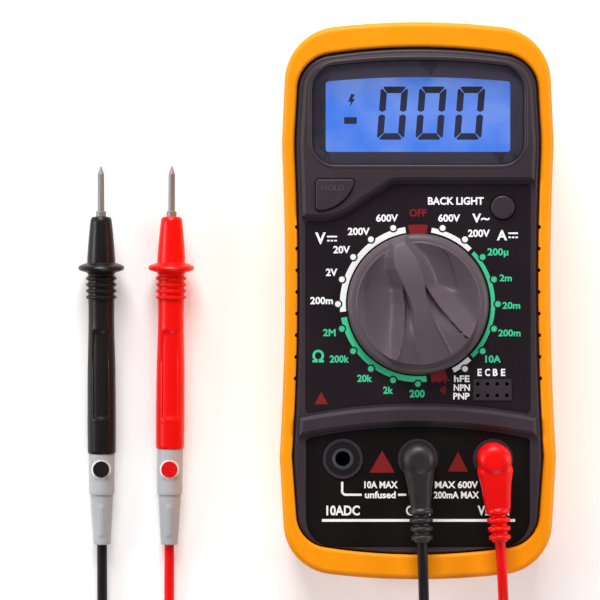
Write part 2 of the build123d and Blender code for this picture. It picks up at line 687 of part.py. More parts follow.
with BuildPart() as fuse_clips:
    for side in (-1, 1):
        with BuildSketch(Plane.YZ.offset((side * (fuse_length - fuse_cap_length) - clip_width) / 2)):
            with Locations((fuse_y, fuse_z)):
                Circle(fuse_radius + clip_wall)
            with Locations((fuse_y, (fuse_z + board_low_z) / 2)):
                Rectangle(clip_foot, board_low_z - fuse_z)
            with Locations((fuse_y, fuse_z)):
                Circle(fuse_radius, mode=Mode.SUBTRACT)
            # the clip is open underneath, where the fuse snaps in
            with Locations((fuse_y, fuse_z - fuse_radius - clip_wall)):
                Rectangle(1.3 * fuse_radius, 1.3 * fuse_radius, mode=Mode.SUBTRACT)
        extrude(amount=clip_width)
save(fuse_clips.part, "fuse_clips")

with BuildPart() as shunt_wire:
    with BuildLine():
        FilletPolyline(
            (shunt_left_x, shunt_y, board_low_z), (shunt_left_x, shunt_y, shunt_low_z),
            (shunt_right_x, shunt_y, shunt_low_z), (shunt_right_x, shunt_y, board_low_z), radius=3,
        )
    with BuildSketch(Plane(origin=(shunt_left_x, shunt_y, board_low_z), z_dir=(0, 0, -1))):
        Circle(shunt_radius)
    sweep()
save(shunt_wire.part, "shunt_wire")

# ---------------------------------------------------------------- sockets and printed plates
with BuildPart() as input_jacks:
    for x, y in jack_places:
        with Locations((x, y, jack_low_z)):
            Cylinder(jack_radius, jack_top_z - jack_low_z, align=FOOT)
            Cylinder(jack_bore, jack_top_z - jack_low_z, align=FOOT, mode=Mode.SUBTRACT)
save(input_jacks.part, "input_jacks")

with BuildPart() as jack_sleeves:
    with BuildSketch(Plane.XY.offset(sleeve_low_z)):
        with Locations(jack_places):
            Circle(sleeve_radius)
            Circle(jack_radius, mode=Mode.SUBTRACT)
    extrude(amount=collar_top_z - sleeve_low_z)
save(jack_sleeves.part, "jack_sleeves")

with BuildPart() as transistor_socket:
    with BuildSketch(Plane.XY.offset(board_top_z)):
        with Locations((socket_x, socket_y)):
            Rectangle(socket_length, socket_width)
    extrude(amount=dial_z + 0.2 - board_top_z)
    with BuildSketch(Plane.XY.offset(dial_z + 0.2)):
        with Locations((socket_x, socket_y)):
            with GridLocations(socket_pitch, socket_row, 4, 2):
                Circle(socket_hole)
    extrude(amount=-5, mode=Mode.SUBTRACT)
save(transistor_socket.part, "transistor_socket")

with BuildPart() as dial_plate:
    with BuildSketch(Plane.XY.offset(dial_z - plate_thickness)):
        add(dial_shape)
        with Locations((0, dial_y)):
            Circle(hub_radius + 0.5, mode=Mode.SUBTRACT)
        with Locations((light_button_x, light_button_y)):
            Circle(light_button_radius + button_gap, mode=Mode.SUBTRACT)
        with Locations((socket_x, socket_y)):
            Rectangle(socket_length + 0.2, socket_width + 0.2, mode=Mode.SUBTRACT)
    extrude(amount=plate_thickness)
save(dial_plate.part, "dial_plate")

with BuildPart() as jack_plate:
    with BuildSketch(Plane.XY.offset(panel_z)):
        add(panel_shape)
        with Locations(jack_places):
            Circle(collar_radius + plate_clearance, mode=Mode.SUBTRACT)
    extrude(amount=plate_thickness)
save(jack_plate.part, "jack_plate")

# ---------------------------------------------------------------- push buttons
switch_top_z = board_top_z + switch_height
plunger_low_z = switch_top_z + switch_cap + button_travel + 0.05
with BuildPart() as hold_button:
    with BuildSketch(Plane.XY.offset(plunger_low_z)):
        with Locations((hold_x, hold_y)):
            Circle(plunger_radius)
    extrude(amount=ceiling_z - plunger_low_z)
    with BuildSketch(Plane.XY.offset(ceiling_z - flange_thickness)):
        add(hold_flange)
    extrude(amount=flange_thickness)
    with BuildSketch(Plane.XY.offset(ceiling_z)):
        add(hold_shape)
    extrude(amount=bezel_z + button_rise - ceiling_z)
    fillet(hold_button.faces().sort_by(Axis.Z)[-1].edges(), 0.45)
save(hold_button.part, "hold_button")

with BuildPart() as backlight_button:
    with Locations((light_button_x, light_button_y, plunger_low_z)):
        Cylinder(plunger_radius, ceiling_z - plunger_low_z, align=FOOT)
    with Locations((light_button_x, light_button_y, ceiling_z)):
        Cylinder(light_button_radius + flange_overlap, flange_thickness, align=HUNG)
        Cylinder(light_button_radius, dial_z + button_rise - ceiling_z, align=FOOT)
    fillet(backlight_button.faces().sort_by(Axis.Z)[-1].edges(), 0.6)
save(backlight_button.part, "backlight_button")

with BuildPart() as tact_switches:
    for x, y in ((hold_x, hold_y), (light_button_x, light_button_y)):
        with Locations((x, y, board_top_z)):
            Box(switch_side, switch_side, switch_height, align=FOOT)
            Cylinder(plunger_radius, switch_height + switch_cap, align=FOOT)
save(tact_switches.part, "tact_switches")

# ---------------------------------------------------------------- rotary switch
# modelled with the pointer along +Y, then turned to the rest position
knob_low_z = dial_z + knob_lift
switch_place = Pos(0, dial_y, 0) * Rot(0, 0, rest_turn)
reach = knob_radius + 1

with BuildSketch() as blade_outline:
    with BuildLine():
        right = Spline(
            (blade_tip_half, reach), (blade_mid_half, 4), (blade_mid_half + 1.2, -6), (tail_half, -reach),
            tangents=((0.05, -1), (0.45, -1)),
        )
        Polyline(right @ 1, (0, -reach), (0, reach), right @ 0)
    make_face()
    mirror(about=Plane.YZ)

with BuildSketch() as bowl_outline:
    Circle(knob_radius - rim_width)
    add(blade_outline.sketch, mode=Mode.SUBTRACT)

with BuildPart() as bowls:
    for side in (-1, 1):
        with Locations(Plane.XZ * Pos(side * bowl_side, bowl_low_z + bowl_radius, 0)):
            Cylinder(bowl_radius, 2 * reach)
    with BuildSketch(Plane.XY.offset(bowl_low_z - 1)):
        add(bowl_outline.sketch)
    extrude(amount=bowl_radius, mode=Mode.INTERSECT)

with BuildPart() as knob:
    with BuildSketch(Plane.XY.offset(knob_low_z)):
        Circle(knob_radius)
    extrude(amount=knob_top_z - knob_low_z)
    fillet(knob.faces().sort_by(Axis.Z)[-1].edges(), 1.2)
    add(bowls.part, mode=Mode.SUBTRACT)
    # the rim round the bowls is lower than the blade
    with BuildSketch(Plane.XY.offset(rim_top_z)):
        Circle(reach)
        Circle(knob_radius - rim_width, mode=Mode.SUBTRACT)
        add(blade_outline.sketch, mode=Mode.SUBTRACT)
    extrude(amount=knob_top_z, mode=Mode.SUBTRACT)
    # flutes fanning out along the tail
    with BuildSketch(Plane.XY.offset(knob_top_z)):
        for lean in (-flute_lean, 0, flute_lean):
            with Locations(Pos(0, -2) * Rot(0, 0, lean) * Pos(0, -reach / 2 - 1)):
                SlotOverall(reach, flute_width, rotation=90)
    extrude(amount=-flute_depth, mode=Mode.SUBTRACT)
    with Locations((0, 0, knob_low_z)):
        Cylinder(hub_radius, knob_low_z - carrier_top_z, align=HUNG)
    with Locations((0, 0, carrier_top_z)):
        Cylinder(screw_radius + 0.02, 7, align=FOOT, mode=Mode.SUBTRACT)
save(switch_place * knob.part, "knob")

with BuildPart() as contact_carrier:
    with BuildSketch(Plane.XY.offset(carrier_low_z)):
        Circle(carrier_radius)
    extrude(amount=carrier_top_z - carrier_low_z)
    # thrust ring that runs under the case
    with BuildSketch(Plane.XY.offset(carrier_top_z)):
        Circle(hub_radius + 2)
        Circle(hub_radius + 0.6, mode=Mode.SUBTRACT)
    extrude(amount=ceiling_z - carrier_top_z - 0.1)
    # pockets for the detent springs and balls
    with Locations((0, 0, ball_z)):
        with Locations(Rot(0, 90, 0)):
            Cylinder(ball_radius + 0.05, 2 * carrier_radius, mode=Mode.SUBTRACT)
    with BuildSketch(Plane.XY.offset(carrier_low_z)):
        Circle(carrier_radius - ball_radius - spring_length - 0.4)
    extrude(amount=carrier_top_z - carrier_low_z)
    with Locations((0, 0, carrier_low_z)):
        Cylinder(screw_radius + 0.1, 20, mode=Mode.SUBTRACT)
save(switch_place * contact_carrier.part, "contact_carrier")

with BuildPart() as knob_screw:
    with Locations((0, 0, carrier_low_z - head_height + 0.2)):
        Cylinder(head_radius, head_height - 0.2, align=FOOT)
        Cylinder(screw_radius, head_height + 8, align=FOOT)
        Box(cross_length, cross_width, 1.2, mode=Mode.SUBTRACT)
        Box(cross_width, cross_length, 1.2, mode=Mode.SUBTRACT)
save(switch_place * knob_screw.part, "knob_screw")

# bridges of springy strip under the carrier, just clear of the board's tracks
with BuildPart() as contact_wipers:
    for radius in wiper_radii:
        with BuildSketch(Plane.YZ.offset(-3.0)):
            with Locations((radius, (carrier_low_z + board_top_z) / 2)):
                Rectangle(wiper_width, carrier_low_z - board_top_z - 0.1)
        extrude(amount=6)
    with BuildSketch(Plane.XZ):
        with Locations((0, carrier_low_z)):
            Rectangle(4.4, 2.4)
    extrude(amount=reach, both=True, mode=Mode.SUBTRACT)
save(switch_place * contact_wipers.part, "contact_wipers")

ball_place = detent_radius - ball_radius - 0.05
with BuildPart() as detent_balls:
    with Locations((-ball_place, 0, ball_z), (ball_place, 0, ball_z)):
        Sphere(ball_radius)
save(switch_place * detent_balls.part, "detent_balls")

with BuildPart() as detent_springs:
    for side in (-1, 1):
        start = side * (ball_place - ball_radius - spring_length + spring_wire)
        with BuildLine():
            turns = Helix(
                spring_length / spring_turns, spring_length - 2 * spring_wire, spring_radius,
                center=(start, 0, ball_z), direction=(side, 0, 0),
            )
        with BuildSketch(Plane(origin=turns @ 0, z_dir=turns % 0)):
            Circle(spring_wire / 2)
        sweep()
save(switch_place * detent_springs.part, "detent_springs")

# ---------------------------------------------------------------- test leads
leads = {
    "black": {
        "jack": 0.0, "plug_turn": 2.3, "probe_x": -87.0, "probe_tilt": 0.0,
        "coil_x": -13.7, "enters": 1, "leaves_from": (0, -coil_radius), "leaves_to": (-1, 0, 0),
        "run": [(-55, -160.5), (-80, -148), (-88.6, -121), (-87.2, -94)],
    },
    "red": {
        "jack": jack_pitch, "plug_turn": 4.0, "probe_x": -68.2, "probe_tilt": -0.5,
        "coil_x": 38.9, "enters": -1, "leaves_from": (coil_radius, 0), "leaves_to": (0, 1, 0),
        "run": [(53.4, -97.5), (16, -100), (-26, -103.3), (-68.3, -103.5)],
    },
}

with BuildPart() as plug_pin:
    with Locations((0, 0, collar_top_z)):
        Cylinder(plug_pin_radius, plug_pin_length, align=HUNG)
        Cylinder(plug_pin_radius, 5, align=FOOT)
    fillet(plug_pin.faces().sort_by(Axis.Z)[0].edges(), 0.8)

with BuildPart() as plug_body:
    with Locations((0, 0, collar_top_z)):
        Cylinder(plug_head_radius, plug_top_z - collar_top_z, align=FOOT)
    fillet(plug_body.faces().sort_by(Axis.Z)[-1].edges(), 2.6)
    # the arm narrows towards the cord
    with BuildSketch(Plane.XZ.offset(0)):
        with Locations((0, plug_axis_z)):
            RectangleRounded(arm_wide, arm_wide, 2.2)
    with BuildSketch(Plane.XZ.offset(arm_length)):
        with Locations((0, plug_axis_z)):
            RectangleRounded(arm_narrow, arm_narrow, 2.0)
    loft()
    # ribbed strain relief
    with Locations(Plane.XZ.offset(arm_length - 0.5) * Pos(0, plug_axis_z, 0)):
        Cylinder(relief_radius, plug_reach - arm_length + 0.5, align=FOOT)
    for i in range(relief_ribs):
        with Locations(Plane.XZ.offset(arm_length + 0.7 + rib_pitch * i) * Pos(0, plug_axis_z, 0)):
            Cylinder(rib_radius - 0.12 * i, rib_width, align=FOOT)
    with Locations((0, 0, collar_top_z)):
        Cylinder(plug_pin_radius, 5, align=FOOT, mode=Mode.SUBTRACT)

dot_place = Plane.XZ.offset(tail_radius - dot_depth) * Pos(0, dot_place_up, 0)

# a probe stands on its tail here, and probe_location lays it down
needle_foot = probe_length - needle_length
with BuildPart() as probe_tail:
    with BuildSketch(Plane.XZ):
        with BuildLine():
            Polyline(
                (0, 0), (tail_end_radius, 0), (tail_radius - 0.4, tail_taper), (tail_radius, tail_taper),
                (tail_radius, collar_length), (0, collar_length), (0, 0),
            )
        make_face()
    revolve(axis=Axis.Z)
    with Locations(dot_place):
        Cylinder(dot_radius, 3, align=FOOT, mode=Mode.SUBTRACT)

with BuildPart() as probe_dot:
    with Locations(dot_place):
        Cylinder(dot_radius, 2 * dot_depth, align=FOOT)

with BuildPart() as probe_body:
    with BuildSketch(Plane.XZ):
        with BuildLine():
            Polyline(
                (0, collar_length), (probe_radius, collar_length), (probe_radius, 0.85 * waist_place),
                (waist_radius, waist_place), (waist_radius, guard_place - 2.6),
                (ring_radius, guard_place - 2.2), (guard_radius, guard_place - guard_edge),
                (guard_radius, guard_place), (ring_radius, guard_place + 0.8), (nose_root, nose_place),
                (nose_radius, needle_foot), (0, needle_foot), (0, collar_length),
            )
        make_face()
    revolve(axis=Axis.Z)
    rims = probe_body.edges().filter_by(GeomType.CIRCLE)
    fillet(rims.filter_by(lambda rim: rim.radius == guard_radius), 0.6)
    # grip rings behind the guard
    for i in range(3):
        with Locations((0, 0, grip_place + ring_pitch * i)):
            Cylinder(ring_radius, ring_width, align=FOOT)

with BuildPart() as probe_tip:
    with BuildSketch(Plane.XZ):
        with BuildLine():
            Polyline(
                (0, needle_foot), (needle_root, needle_foot), (needle_root, needle_foot + 1.6),
                (needle_radius, needle_foot + 1.8), (needle_radius, probe_length - 2.2),
                (needle_point, probe_length), (0, probe_length), (0, needle_foot),
            )
        make_face()
    revolve(axis=Axis.Z)

lie_down = degrees(atan2(guard_radius - tail_z, guard_place - guard_edge))


def probe_location(lead):
    """Lays a probe on the table: tail at the front, tip away from the reader, dot on top."""
    return Pos(lead["probe_x"], tail_y, tail_z) * Rot(0, 0, lead["probe_tilt"]) * Rot(lie_down - 90, 0, 0)


def bends(points):
    """The easiest bend that fits at each corner of a route."""
    radii = []
    for before, here, after in zip(points, points[1:], points[2:]):
        into, out_of = Vector(*here) - Vector(*before), Vector(*after) - Vector(*here)
        radii.append(0.45 * min(into.length, out_of.length) / tan(radians(into.get_angle(out_of)) / 2))
    return radii


def cord(points):
    """One stretch of cord along a route. Prints its bends, and its volume over that of its length."""
    radii = bends(points)
    with BuildPart() as stretch:
        with BuildLine() as route:
            FilletPolyline(*points, radius=radii)
        with BuildSketch(Plane(origin=route.line @ 0, z_dir=route.line % 0)) as section:
            Circle(cord_diameter / 2)
        sweep()
    run = sum(edge.length for edge in route.edges())
    share = stretch.part.volume / (section.sketch.area * run)
    print("cord bends", [round(r, 1) for r in radii])
    print(f"cord length {run:.1f}, volume against section by length {share:.4f}")
    return stretch.part


cord_low_z = cord_diameter / 2
coil_low_z, coil_high_z = tie_thickness + cord_low_z, tie_thickness + coil_height - cord_low_z
coil_mid_z = tie_thickness + coil_height / 2
lead_tips, lead_ties = [], []
for name, lead in leads.items():
    plug_place = Pos(lead["jack"], jack_y, 0) * Rot(0, 0, lead["plug_turn"])
    save(plug_place * plug_pin.part, f"{name}_plug_pin")
    save(plug_place * plug_body.part, f"{name}_plug_body")
    place = probe_location(lead)
    save(place * probe_body.part, f"{name}_probe_body")
    save(place * probe_tail.part, f"{name}_probe_tail")
    save(place * probe_dot.part, f"{name}_probe_dot")
    lead_tips.append(place * probe_tip.part)

    # the surplus cord is coiled: one solid for the bundle, with short ends that the cord meets
    side = lead["enters"]
    with BuildPart() as lead_coil:
        with BuildSketch(Plane.XZ):
            with Locations((coil_radius, coil_mid_z)):
                RectangleRounded(coil_section, coil_height, 2.6)
        revolve(axis=Axis.Z)
        with Locations(Plane(origin=(side * coil_radius, coil_stub, coil_high_z), z_dir=(0, -1, 0))):
            Cylinder(cord_diameter / 2, coil_stub, align=FOOT)
        with Locations(Plane(origin=lead["leaves_from"] + (coil_low_z,), z_dir=lead["leaves_to"])):
            Cylinder(cord_diameter / 2, coil_stub, align=FOOT)
    with BuildPart() as lead_tie:
        with BuildSketch(Plane.XZ):
            with Locations((-side * coil_radius, coil_mid_z)):
                RectangleRounded(coil_section + 2 * tie_thickness, coil_height + 2 * tie_thickness, 3.2)
                RectangleRounded(coil_section, coil_height, 2.6, mode=Mode.SUBTRACT)
        revolve(axis=Axis.Z, revolution_arc=degrees(tie_width / coil_radius))
    coil_place = Pos(lead["coil_x"], coil_y, 0)
    save(coil_place * lead_coil.part, f"{name}_lead_coil")
    lead_ties.append(coil_place * lead_tie.part)

    # plug to coil, then coil to probe
    heading = radians(lead["plug_turn"])
    leave = (lead["jack"] + plug_reach * sin(heading), jack_y - plug_reach * cos(heading), plug_axis_z)
    droop = (leave[0] + first_run * sin(heading), leave[1] - first_run * cos(heading), plug_axis_z)
    enter_x = lead["coil_x"] + side * coil_radius
    enter = (enter_x, coil_y + coil_stub, coil_high_z)
    land = (enter_x, enter[1] + first_run, coil_high_z)
    out_x, out_y = (a + b * coil_stub for a, b in zip(lead["leaves_from"], lead["leaves_to"]))
    away = (lead["coil_x"] + out_x, coil_y + out_y, coil_low_z)
    floor_run = [(x, y, cord_low_z) for x, y in lead["run"]]
    near_part = cord([leave, droop, land, enter])
    far_part = cord([away, *floor_run, (lead["probe_x"], tail_y, tail_z)])
    save(Compound(children=[near_part, far_part]), f"{name}_lead_cord")
save(Compound(children=lead_tips), "probe_tips")
save(Compound(children=lead_ties), "lead_ties")
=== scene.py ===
"""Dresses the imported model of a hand-held digital multimeter with its finished surfaces.

It is laid out as an add-on with one operator for each group of pieces.
Run as a script, it calls them all in order.
Lengths are metres, and MM turns the millimetres of the sizes below into them.
"""

import json
import math

import bmesh
import bpy
import numpy as np
from bpy.props import FloatProperty, FloatVectorProperty, PointerProperty
from mathutils import Matrix, Vector


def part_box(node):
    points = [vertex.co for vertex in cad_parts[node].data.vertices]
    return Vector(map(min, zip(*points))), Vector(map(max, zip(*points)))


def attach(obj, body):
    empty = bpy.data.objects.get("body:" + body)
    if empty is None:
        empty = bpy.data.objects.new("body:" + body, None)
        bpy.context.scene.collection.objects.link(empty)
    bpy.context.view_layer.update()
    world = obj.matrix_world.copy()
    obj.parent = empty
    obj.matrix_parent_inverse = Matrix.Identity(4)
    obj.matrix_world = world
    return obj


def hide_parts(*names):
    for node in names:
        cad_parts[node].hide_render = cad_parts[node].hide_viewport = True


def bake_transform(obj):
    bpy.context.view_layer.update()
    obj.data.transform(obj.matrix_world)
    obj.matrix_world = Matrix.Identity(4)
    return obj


bl_info = {
    "name": "Digital multimeter",
    "version": (1, 0, 0),
    "blender": (4, 5, 0),
    "location": "View3D > Sidebar > Meter",
    "description": "Finishes a digital multimeter with its test leads around its packed frame",
    "category": "Object",
}

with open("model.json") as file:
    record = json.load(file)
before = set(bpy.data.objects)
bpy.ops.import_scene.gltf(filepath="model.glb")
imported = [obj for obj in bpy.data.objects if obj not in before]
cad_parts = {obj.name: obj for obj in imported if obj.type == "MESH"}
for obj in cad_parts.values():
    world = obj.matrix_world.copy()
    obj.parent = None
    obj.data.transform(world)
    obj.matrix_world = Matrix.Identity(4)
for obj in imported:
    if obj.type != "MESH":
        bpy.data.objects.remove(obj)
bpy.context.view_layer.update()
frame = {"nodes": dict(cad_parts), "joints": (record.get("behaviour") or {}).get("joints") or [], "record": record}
NODES = frame["nodes"]
MM = 0.001

# ---------------------------------------------------------------- places read from the frame
SELECTOR = Vector(next(j["pos_m"] for j in frame["joints"] if j["name"] == "selector_turn"))
FREE_JACK = Vector(next(m["pos_m"] for m in frame["record"]["mounts"] if m["name"] == "jack_10a"))
JACK_PITCH = (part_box("input_jacks")[1].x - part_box("input_jacks")[0].x) / 2 - 2.9 * MM
DIAL_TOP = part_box("dial_plate")[1].z
PANEL_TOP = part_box("jack_plate")[1].z
KNOB_LOW, KNOB_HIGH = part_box("knob")
KNOB_RADIUS = (KNOB_HIGH.x - KNOB_LOW.x) / 2
LCD_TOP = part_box("lcd_glass")[1].z
BEZEL_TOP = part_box("display_window")[1].z + 0.3 * MM


# ---------------------------------------------------------------- sizes and colours a user may change
def colour(name, text, rgb):
    """A colour property, given as the usual 0 to 255 values."""
    def linear(v):
        v /= 255
        return v / 12.92 if v <= 0.04045 else ((v + 0.055) / 1.055) ** 2.4

    return FloatVectorProperty(name=name, description=text, subtype="COLOR", size=4, min=0, max=1,
                               default=(*[linear(v) for v in rgb], 1))


def length(name, text, mm):
    """A length property, given in millimetres."""
    return FloatProperty(name=name, description=text, unit="LENGTH", min=0, default=mm * MM)


class MeterColours(bpy.types.PropertyGroup):
    holster: colour("Holster", "Colour of the rubber holster", (255, 150, 0))
    case: colour("Case", "Colour of the moulded case", (57, 48, 55))
    dial: colour("Dial plate", "Colour of the plate round the selector", (29, 21, 27))
    panel: colour("Jack plate", "Colour of the plate round the sockets", (17, 12, 12))
    knob: colour("Selector", "Colour of the rotary selector", (92, 80, 86))
    white_ink: colour("White ink", "Colour of the white print", (246, 246, 246))
    green_ink: colour("Green ink", "Colour of the green print", (62, 205, 150))
    red_ink: colour("Red ink", "Colour of the red print", (132, 18, 20))
    display: colour("Display", "Colour of the lit display", (70, 133, 250))
    black_lead: colour("Black lead", "Colour of the black test lead", (30, 25, 27))
    red_lead: colour("Red lead", "Colour of the red test lead", (240, 12, 10))


class MeterSizes(bpy.types.PropertyGroup):
    ink: length("Ink", "How far print stands out of its plate", 0.03)
    scale_radius: length("Scale radius", "Radius of the coloured arcs round the selector", 20.2)
    dot_radius: length("Dot circle", "Radius of the circle that the range dots lie on", 21.5)
    cord: length("Cord", "Diameter of the test leads", 2.8)
    coil: length("Coil", "Radius of the coiled leads at the middle of their turns", 15.5)


# ---------------------------------------------------------------- small modelling tools
def piece_from(bm, name, smooth=True, angle=math.radians(35)):
    """Turns a finished bmesh into a scene object."""
    mesh = bpy.data.meshes.new(name)
    bm.to_mesh(mesh)
    bm.free()
    obj = bpy.data.objects.new(name, mesh)
    bpy.context.scene.collection.objects.link(obj)
    if smooth:
        mesh.shade_smooth()
        mesh.set_sharp_from_angle(angle=angle)
    return obj


def finish_piece(obj, material, body="root", replaces=()):
    """Gives a piece its material and body, and hides the CAD parts that it replaces."""
    obj.data.materials.clear()
    obj.data.materials.append(material)
    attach(obj, body)
    if replaces:
        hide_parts(*replaces)
    return obj


def plate(bm, points, low, thickness):
    """A flat plate: a few corner points in the plane, given a thickness."""
    verts = [bm.verts.new((x, y, low)) for x, y in points]
    face = bm.faces.new(verts)
    face.normal_update()
    if face.normal.z > 0:
        face.normal_flip()
    grown = bmesh.ops.extrude_face_region(bm, geom=[face], use_keep_orig=True)
    risen = [g for g in grown["geom"] if isinstance(g, bmesh.types.BMVert)]
    bmesh.ops.translate(bm, verts=risen, vec=(0, 0, thickness))
    tops = [g for g in grown["geom"] if isinstance(g, bmesh.types.BMFace)]
    bmesh.ops.recalc_face_normals(bm, faces=bm.faces[:])
    return tops


def disc(bm, centre, radius, low, thickness, segments=28):
    """A round printed dot."""
    made = bmesh.ops.create_cone(bm, cap_ends=True, segments=segments, radius1=radius, radius2=radius,
                                 depth=thickness,
                                 matrix=Matrix.Translation((*centre, low + thickness / 2)))
    return made["verts"]


def arc_band(bm, centre, radius, width, start, end, low, thickness):
    """A printed arc, between two clockwise angles in degrees from straight up."""
    steps = max(3, int(abs(end - start) / 2))
    lower = []
    for r in (radius - width / 2, radius + width / 2):
        lower.append(bm.verts.new((centre[0], centre[1] + r, low)))
    edge = bm.edges.new(lower)
    bmesh.ops.rotate(bm, verts=lower, cent=(*centre, low),
                     matrix=Matrix.Rotation(-math.radians(start), 3, "Z"))
    swept = bmesh.ops.spin(bm, geom=[edge, *lower], cent=(*centre, low), axis=(0, 0, -1),
                           angle=math.radians(end - start), steps=steps, use_merge=False)
    fresh = {f for v in swept["geom_last"] if isinstance(v, bmesh.types.BMVert) for f in v.link_faces}
    band = set(fresh)
    while fresh:
        fresh = {f for g in fresh for e in g.edges for f in e.link_faces} - band
        band |= fresh
    grown = bmesh.ops.extrude_face_region(bm, geom=list(band), use_keep_orig=True)
    risen = [g for g in grown["geom"] if isinstance(g, bmesh.types.BMVert)]
    bmesh.ops.translate(bm, verts=risen, vec=(0, 0, thickness))


def letter(bm, words, x, y, cap, low, thickness, width, weight=0.03):
    """Printed lettering, centred on a point. cap is the height of a capital, and width that of the words."""
    curve = bpy.data.curves.new("lettering", "FONT")
    curve.body = words
    curve.size, curve.offset, curve.extrude, curve.resolution_u = 1.0, weight, 0.5, 3
    holder = bpy.data.objects.new("lettering", curve)
    bpy.context.scene.collection.objects.link(holder)
    bpy.context.view_layer.update()
    mesh = bpy.data.meshes.new_from_object(holder.evaluated_get(bpy.context.evaluated_depsgraph_get()))
    across = [v.co.x for v in mesh.vertices]
    upright = cap / 0.73
    squeeze = width / (max(across) - min(across))
    mesh.transform(Matrix.Translation((x - (max(across) + min(across)) / 2 * squeeze, y - cap / 2,
                                       low + thickness / 2))
                   @ Matrix.Diagonal((squeeze, upright, thickness, 1)))
    bm.from_mesh(mesh)
    bpy.data.objects.remove(holder)
    bpy.data.curves.remove(curve)
    bpy.data.meshes.remove(mesh)


def spun(bm, profile, steps=64, axis_at=(0, 0, 0)):
    """A turned solid: a profile of (radius, height) spun about Z. Its ends lie on the axis."""
    verts = [bm.verts.new((axis_at[0] + r, axis_at[1], axis_at[2] + z)) for r, z in profile]
    edges = [bm.edges.new(pair) for pair in zip(verts, verts[1:])]
    bmesh.ops.spin(bm, geom=[*verts, *edges], cent=axis_at, axis=(0, 0, 1), angle=math.tau, steps=steps,
                   use_merge=True)
    bmesh.ops.remove_doubles(bm, verts=bm.verts[:], dist=1e-6)
    bmesh.ops.recalc_face_normals(bm, faces=bm.faces[:])


def smoothstep(low, high, value):
    t = min(1.0, max(0.0, (value - low) / (high - low)))
    return t * t * (3 - 2 * t)


# ---------------------------------------------------------------- shader maths
class Wire:
    """A shader socket that can be used in an expression."""

    def __init__(self, material, socket):
        self.material, self.socket = material, socket

    def _math(self, operation, other, swap=False):
        a, b = (other, self) if swap else (self, other)
        return self.material.node("ShaderNodeMath", {"operation": operation}, [a, b])

    def __add__(self, other):
        return self._math("ADD", other)

    def __sub__(self, other):
        return self._math("SUBTRACT", other)

    def __rsub__(self, other):
        return self._math("SUBTRACT", other, swap=True)

    def __mul__(self, other):
        return self._math("MULTIPLY", other)

    def __truediv__(self, other):
        return self._math("DIVIDE", other)

    __radd__, __rmul__ = __add__, __mul__


class Finish:
    """One material: its nodes, and the shader that they end in."""

    def __init__(self, name):
        self.data = bpy.data.materials.new(name)
        self.data.use_nodes = True
        self.tree = self.data.node_tree
        self.shader = self.tree.nodes["Principled BSDF"]

    def node(self, kind, settings=None, values=(), out=0):
        """Adds a node. values go to its inputs in order, or by name when they are a dict."""
        made = self.tree.nodes.new(kind)
        for key, value in (settings or {}).items():
            if key == "stops":
                ramp = made.color_ramp.elements
                while len(ramp) < len(value):
                    ramp.new(0.5)
                for element, (place, shade) in zip(ramp, value):
                    element.position, element.color = place, shade
            else:
                setattr(made, key, value)
        pairs = values.items() if isinstance(values, dict) else enumerate(values)
        for key, value in pairs:
            self.feed(made.inputs[key], value)
        return Wire(self, made.outputs[out])

    def feed(self, socket, value):
        if isinstance(value, Wire):
            self.tree.links.new(value.socket, socket)
        elif value is not None:
            socket.default_value = value

    def set(self, **values):
        """Feeds the shader: underscores in a name stand for spaces."""
        for key, value in values.items():
            self.feed(self.shader.inputs[key.replace("_", " ")], value)
        return self

    def place(self):
        return self.node("ShaderNodeTexCoord", out=3)

    def along(self, axis, place=None):
        """One coordinate of a place: 0 for x, 1 for y, 2 for z."""
        return self.node("ShaderNodeSeparateXYZ", {}, [place or self.place()], out=axis)

    def noise(self, scale, detail=3.0, roughness=0.5, place=None):
        return self.node("ShaderNodeTexNoise", {},
                         {"Vector": place or self.place(), "Scale": scale, "Detail": detail,
                          "Roughness": roughness})

    def range(self, value, low, high, to_low, to_high):
        return self.node("ShaderNodeMapRange", {"clamp": True},
                         {"Value": value, "From Min": low, "From Max": high, "To Min": to_low,
                          "To Max": to_high})

    def mix(self, share, a, b, blend="MIX"):
        return self.node("ShaderNodeMix", {"data_type": "RGBA", "blend_type": blend},
                         {0: share, 6: a, 7: b}, out=2)

    def bump(self, height, distance, strength=1.0, normal=None):
        values = {"Height": height, "Distance": distance, "Strength": strength}
        if normal is not None:
            values["Normal"] = normal
        return self.node("ShaderNodeBump", {}, values)


def shade(base, factor):
    return (*[min(1.0, v * factor) for v in base[:3]], 1)


def moulded(name, base, rough=0.45, grain=2600, depth=0.012, mottle=0.06, coat=0.0):
    """Moulded plastic: a fine spark-eroded grain, slight mottling and handling sheen."""
    m = Finish(name)
    place = m.place()
    cloud = m.noise(55, 4, 0.55, place)
    fine = m.noise(grain, 2, 0.6, place)
    tint = m.range(cloud, 0.3, 0.7, 0, 1)
    m.set(Base_Color=m.mix(tint, shade(base, 1 - mottle), shade(base, 1 + mottle)),
          Roughness=m.range(cloud, 0.3, 0.7, rough - 0.05, rough + 0.06),
          Normal=m.bump(fine, depth * MM, 0.6))
    m.shader.inputs["Specular IOR Level"].default_value = 0.2
    m.shader.inputs["Coat Weight"].default_value = coat
    m.shader.inputs["Coat Roughness"].default_value = 0.25
    return m.data


def metal(name, base, rough=0.22, streak=900, metallic=1.0):
    """Plated or turned metal with faint machining marks."""
    m = Finish(name)
    place = m.place()
    marks = m.noise(streak, 2, 0.7, place)
    dull = m.noise(140, 3, 0.5, place)
    m.set(Base_Color=m.mix(dull, shade(base, 0.88), shade(base, 1.05)),
          Roughness=m.range(dull, 0.3, 0.7, rough - 0.06, rough + 0.1),
          Normal=m.bump(marks, 0.004 * MM, 0.5))
    m.shader.inputs["Metallic"].default_value = metallic
    return m.data


